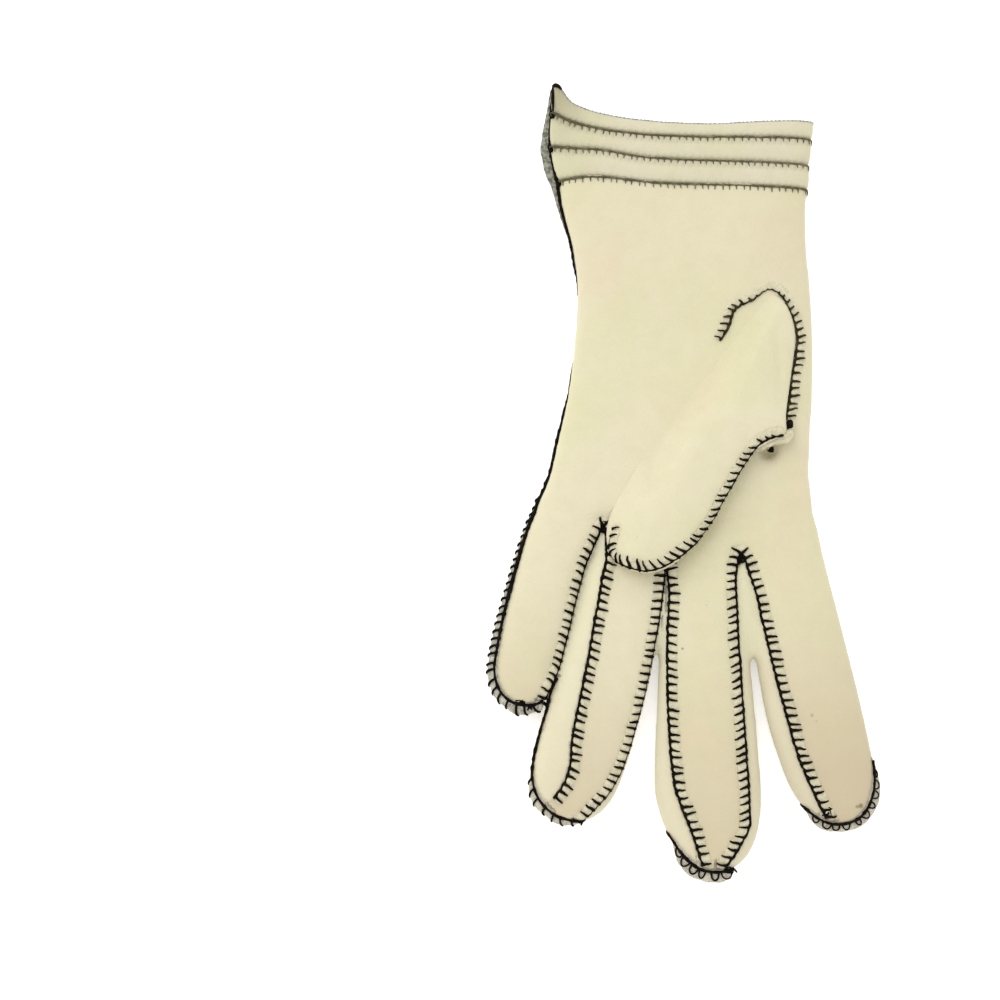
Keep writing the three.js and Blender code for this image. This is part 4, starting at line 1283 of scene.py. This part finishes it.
rims, side_rim, rim_thread = bmesh.new(), bmesh.new(), new_thread()
for name, seam in edge_seams.items():
    seam.raw_edges(rims, STANDING, pinched=RIM_PINCH)
    seam.teeth(rim_thread, *TIP_STITCHES[name], least=LOOPED)
    seam.line(rim_thread, size=1.25, wave=0.07, out=RIM_FOOT)
outer_seam.raw_edges(side_rim, STANDING, pinched=RIM_PINCH)
outer_seam.teeth(rim_thread, STROKE, (1.3, 1.3), OUTER_TEETH, size=1.15, least=LOOPED)
outer_seam.line(rim_thread, sizes=OUTER_LINES, wave=0.07, out=RIM_FOOT)
outer_seam.line(rim_thread, sizes=OUTER_TRIMS, across=0.0, wave=0.05, out=0.8)
edged("tip_raw_edges", rims, pale_edge)
edged("outer_raw_edges", side_rim, outer_edge)
stitched("outer_stitches", rim_thread, black_thread)


# The thumb is its own piece of suede, folded round and set into its hole in the palm, over which
# it lies. Its seam runs down its outer edge and round its tip.
def settled(place, inward, distance):
    """A place on the thumb, whose folded side is drawn down softly to the palm."""
    free = max(ease(inward, 0, FOLD_WIDTH) ** 2, ease(distance, *FOLD_END))
    palm = ground.ray_cast(Vector((place.x, place.y, HIGH * MM)), DOWN)[0]
    if palm:
        place.z = blend(min(place.z, palm.z - FOLD_SINK * MM), place.z, free)
    return place


def thumb_rings():
    distances = [share * THUMB_START for share in HEEL_SHARES]
    distances += THUMB.stations(THUMB_START, step=1.0, tip_steps=24)
    rings = []
    for distance in distances:
        left, right, share = thumb_edges(distance)
        base, crown = THUMB.value("base", distance), THUMB.value("top", distance)
        top = base + (crown - base) * blend(TIP_FLATNESS, 1, share**0.5)
        roundness = blend(HEEL_POWER, FINGER_POWER, ease(distance, *HEEL_RUN))
        outline = section(left, right, base, top, roundness, THUMB_POINTS, THUMB_FOLD, THUMB_UNDER)
        places = [placed(*THUMB.spot(distance, x), z) for x, z in outline]
        rings.append([settled(place, x - left, distance) for place, (x, _) in zip(places, outline)])
    return rings


CREASE = (Vector((29.4, 49.0)), Vector((31.0, 22.5)))  # a soft fold in the thumb beside its hole
CREASE_DEPTH = 1.0  # mm
CREASE_WIDTH = 1.7
CREASE_LEVELS = (8, 11)  # mm above the table, so that the thumb's underside stays as it is


def creased(mesh):
    """Presses the soft fold into the thumb's upper side."""
    start, end = CREASE
    for point in mesh.verts:
        spot = drawn_at(point.co)
        flat = Vector((spot.x, spot.y))
        share = min(max((flat - start).dot(end - start) / (end - start).length_squared, 0), 1)
        away = (flat - start.lerp(end, share)).length
        depth = CREASE_DEPTH * exp(-((away / CREASE_WIDTH) ** 2)) * sin(pi * share) ** 0.5
        point.co.z -= depth * MM * ease(spot.z, *CREASE_LEVELS)


thumb_form = bmesh.new()
tube(thumb_form, thumb_rings())
creased(thumb_form)
bmesh.ops.recalc_face_normals(thumb_form, faces=thumb_form.faces)
thumb_ground = BVHTree.FromBMesh(thumb_form)

HOLE_LINE = (
    (12, 44), (14, 47), (15.5, 50), (16.5, 53.5), (18.5, 55.5), (22, 57), (24, 58.5), (26, 60),
    (28, 61), (30, 60.5), (32, 58.5), (33.5, 56), (35, 52.5), (36, 49), (36.5, 45), (36, 41),
    (35.5, 37.5), (34.5, 33), (34, 29), (33.5, 25), (32.5, 20.5), (32.6, 18.5),
)
THUMB_LINE = (
    (31.5, 13.6), (27, 12.5), (23.5, 10.5), (21.5, 8), (19.5, 5), (17.5, 2), (15.5, -1.5), (13.5, -5),
    (11.5, -8.5), (9.5, -12.5), (7, -16), (4.5, -19.5), (1.5, -22), (-1.5, -24.5), (-6, -27.3),
    (-9, -28.3), (-12, -28.8), (-15, -28.4), (-18, -27.3), (-20.6, -25.8), (-22.6, -23.6), (-23, -21.4),
    (-22.8, -19), (-22.2, -16.5), (-21.4, -14.4),
)
CORNER_LIP = (
    (22.6, 9.6, 10.6), (25.6, 11.2, 11.0), (28.8, 12.3, 11.5), (31.6, 12.7, 11.2), (33.1, 14.4, 10.3),
    (33.0, 16.4, 9.2),
)  # where the thumb's raw edges part and turn back to the hole
THUMB_TAN = 0.04


def tan_of_thumb(_):
    return THUMB_TAN


hole_seam = Seam(laid(HOLE_LINE, ground, -1), pitch=2.4)
thumb_seam = Seam(laid(THUMB_LINE, thumb_ground, 1))
mark_seams(thumb_form, [thumb_seam, hole_seam], tan_of_thumb)
leather("thumb_suede", thumb_form, "thumb", suede_paint)

# The thumb's seams, whipped in the same thread. The one round the hole is older and faded, and it
# is thin at its top, where its teeth are hidden. A knot ends each seam at the corner between
# them. A small black knot deep in the pocket under that corner also stands in for the pocket's
# dark shadow. The tables give shares of the full size, evenly along a seam.
HOLE_TEETH = (0.8, 0.9, 0.75, 0.5, 0.0, 0.0, 0.6, 0.9, 1, 1, 1, 1, 1, 1)
HOLE_EDGES = (0.3, 0.4, 0.3, 0.2, 0.1, 0.1, 0.4, 0.8, 1, 1, 1, 1, 1, 0.8)
HOLE_THREAD = (0.8, 1.1, 1.1, 0.9, 0.5, 0.5, 0.9, 1.1, 1.2, 1.2, 1.2, 1.2, 1.2, 1.2)
THUMB_TEETH = (0.0, 0.5, 1, 1, 1, 1, 1, 1, 1, 1, 1, 1, 0.9, 0.7)
THUMB_THREAD = (1.0, 0.9, 0.75, 0.75, 0.75, 0.75, 0.75, 0.8, 0.9, 0.9, 0.9, 0.9, 0.4, 0.0)
LIP_SIZE = (2.8, 1.4)  # mm wide and mm out
thumb_raw, thumb_thread, hole_thread = bmesh.new(), new_thread(), new_thread()
hole_seam.raw_edges(thumb_raw, LEANING, HOLE_EDGES)
hole_seam.teeth(hole_thread, TOOTH, (-0.8, -0.8), HOLE_TEETH)
hole_seam.line(hole_thread, sizes=HOLE_THREAD)
thumb_seam.raw_edges(thumb_raw, LEANING, THUMB_TEETH)
thumb_seam.teeth(thumb_thread, TOOTH, (1.5, 1.5), THUMB_TEETH, size=1.1)
thumb_seam.line(thumb_thread, sizes=THUMB_THREAD)
lip = through([placed(*p) for p in CORNER_LIP], STEP * MM)
Seam(framed(lip, [UP] * len(lip), 1, [LIP_SIZE] * len(lip))).raw_edges(thumb_raw, STANDING)
knot(thumb_thread, placed(33.0, 17.4, 9.9), reach=1.1, turns=8, size=1.6, height=0.7)
# A knot deep in the pocket under the corner lip. It also stands in for the pocket's dark core of shadow.
knot(thumb_thread, placed(27.6, 9.8, 9.0), reach=0.9, turns=5, size=1.2, height=0.3)
edged("thumb_raw_edges", thumb_raw, cream_edge)
stitched("thumb_stitches", thumb_thread, black_thread)
stitched("thumb_hole_stitches", hole_thread, faded_thread)

# The cuff is three flared bands of the same suede, each sewn on along one line. Their lower edges
# roll down into the seam, so that each stands a little over the one below it.
BAND_SHAPE = (
    (0.0, -0.9), (0.015, -0.5), (0.05, -0.1), (0.1, 0.25), (0.18, 0.55), (0.3, 0.78), (0.42, 0.86),
    (0.6, 0.78), (0.78, 0.6), (0.9, 0.45), (1.0, 0.3),
)
BAND_INSIDE = (0.98, 0.5, 0.02)
BAND_POINTS = 160
LINE_POINTS = 96


def band_row(lower, upper, share):
    return {key: blend(lower[key], upper[key], share) for key in lower}


CORNER = (-38, 126)  # the cuff's turned-up corner, darkened by painted shade where it turns away from the light
CORNER_SPREAD = 110  # square mm
CORNER_SHADE = 0.9


# Painted shade: the cuff is darkened towards its turned-up corner, which turns away from the light.
def shade_of_cuff_corner(spot):
    away = (spot.x - CORNER[0]) ** 2 + (spot.y - CORNER[1]) ** 2
    return CORNER_SHADE * exp(-away / CORNER_SPREAD)


def ring_frames(row, down, swell, size):
    """Frames of a seam all round the cuff, from its left edge over the palm side."""
    outline = cuff_ring(row, 0, swell, LINE_POINTS)
    half = LINE_POINTS // 2
    loop = outline[half::-1] + outline[:half - 1:-1]
    places = evenly([p - Vector((0, down * MM, 0)) for p in loop], STEP * MM)
    last = len(places) - 1
    outs = [
        (places[min(i + 2, last)] - places[max(i - 2, 0)]).cross(Vector((0, 1, 0))).normalized()
        for i in range(last + 1)
    ]
    return framed(places, eased(outs, 3), 1, [size] * len(places))


# The cuff suede's second colour is the painted shade of its turned-up corner. Its last number is the
# painted shade beside its seams.
cuff_suede = suede("cuff_suede", linear(206, 199, 173), linear(160, 154, 124), 0.16)
LINE_SWELLS = (0.0, 0.4, 0.4)  # mm, how far each line of stitches stands out on the band below it
LINE_DOWN = 0.8  # mm towards the fingers, from the foot of the band above
LINE_SIZE = (1.05, 0.12)  # mm wide and mm out
cuff_seams = [
    Seam(ring_frames(row, LINE_DOWN, swell, LINE_SIZE), pitch=2.2) for row, swell in zip(CUFF, LINE_SWELLS)
]
for name, lower, upper in zip(("lower", "middle", "top"), CUFF, CUFF[1:]):
    band = bmesh.new()
    rings = [
        cuff_ring(band_row(lower, upper, share), 0, swell, BAND_POINTS) for share, swell in BAND_SHAPE
    ]
    rings += [cuff_ring(band_row(lower, upper, share), WALL, 0, BAND_POINTS) for share in BAND_INSIDE]
    sleeve(band, rings)
    bmesh.ops.recalc_face_normals(band, faces=band.faces)
    mark_seams(band, cuff_seams, shade_of_cuff_corner)
    leather(f"cuff_band_{name}_suede", band, f"cuff_band_{name}", cuff_suede)

# The cuff's lines of stitches are smaller, and half sunk in the roll. Its free edge is overcast
# with fine grey-blue thread. The side seam's thread ends in a cap at the corner's tip.
LINE_SIZES = (1.5, 1.1, 1, 1, 1, 1, 1, 1, 1, 1, 1, 1)  # thicker at the side seam
cuff_thread = new_thread()
for seam in cuff_seams:
    seam.teeth(cuff_thread, TOOTH, (0.1, 0.1), size=0.48)
    seam.line(cuff_thread, size=0.7, sizes=LINE_SIZES, wave=0.07)
corner_thread = new_thread()
for row in CUFF[:3]:
    x = row["left"] + 0.3
    z = EDGE_LEVEL * row["height"] + row["lift"] + 1.5
    knot(corner_thread, placed(x, row["y"] + climb(row, x) - 1, z), reach=0.8, turns=7, size=1.2)
CAP = ((49, 1.8), (47, 2.0), (45, 2.0), (43, 1.8), (42, 1.5), (41, 0.8))  # place on the ring, thickness
cap = cuff_ring(CUFF[3], 0, 0.5, LINE_POINTS)
down_the_side = [cap[47] + Vector((-0.3, -run, 0.2)) * MM for run in (8.5, 4.5, 1.5)]
side_path = list(zip(down_the_side, (1.0, 1.3, 1.6)))
strand(corner_thread, side_path + [(cap[i] + UP * 0.1 * MM, thick) for i, thick in CAP])
stitched("cuff_stitches", cuff_thread, worn_thread)
stitched("corner_stitches", corner_thread, black_thread)

fine_thread = new_thread()
free_edge = Seam(ring_frames(CUFF[3], down=0.1, swell=0.1, size=(0.7, 0.2)), pitch=1.3)
free_edge.teeth(fine_thread, TOOTH, (0.3, 0.3), size=0.28)
free_edge.line(fine_thread, size=0.42, across=-0.2, wave=0.05, out=0.5)
grey_thread = thread_paint("grey_thread", linear(136, 144, 142), linear(168, 174, 168))
stitched("cuff_overcasting", fine_thread, grey_thread)
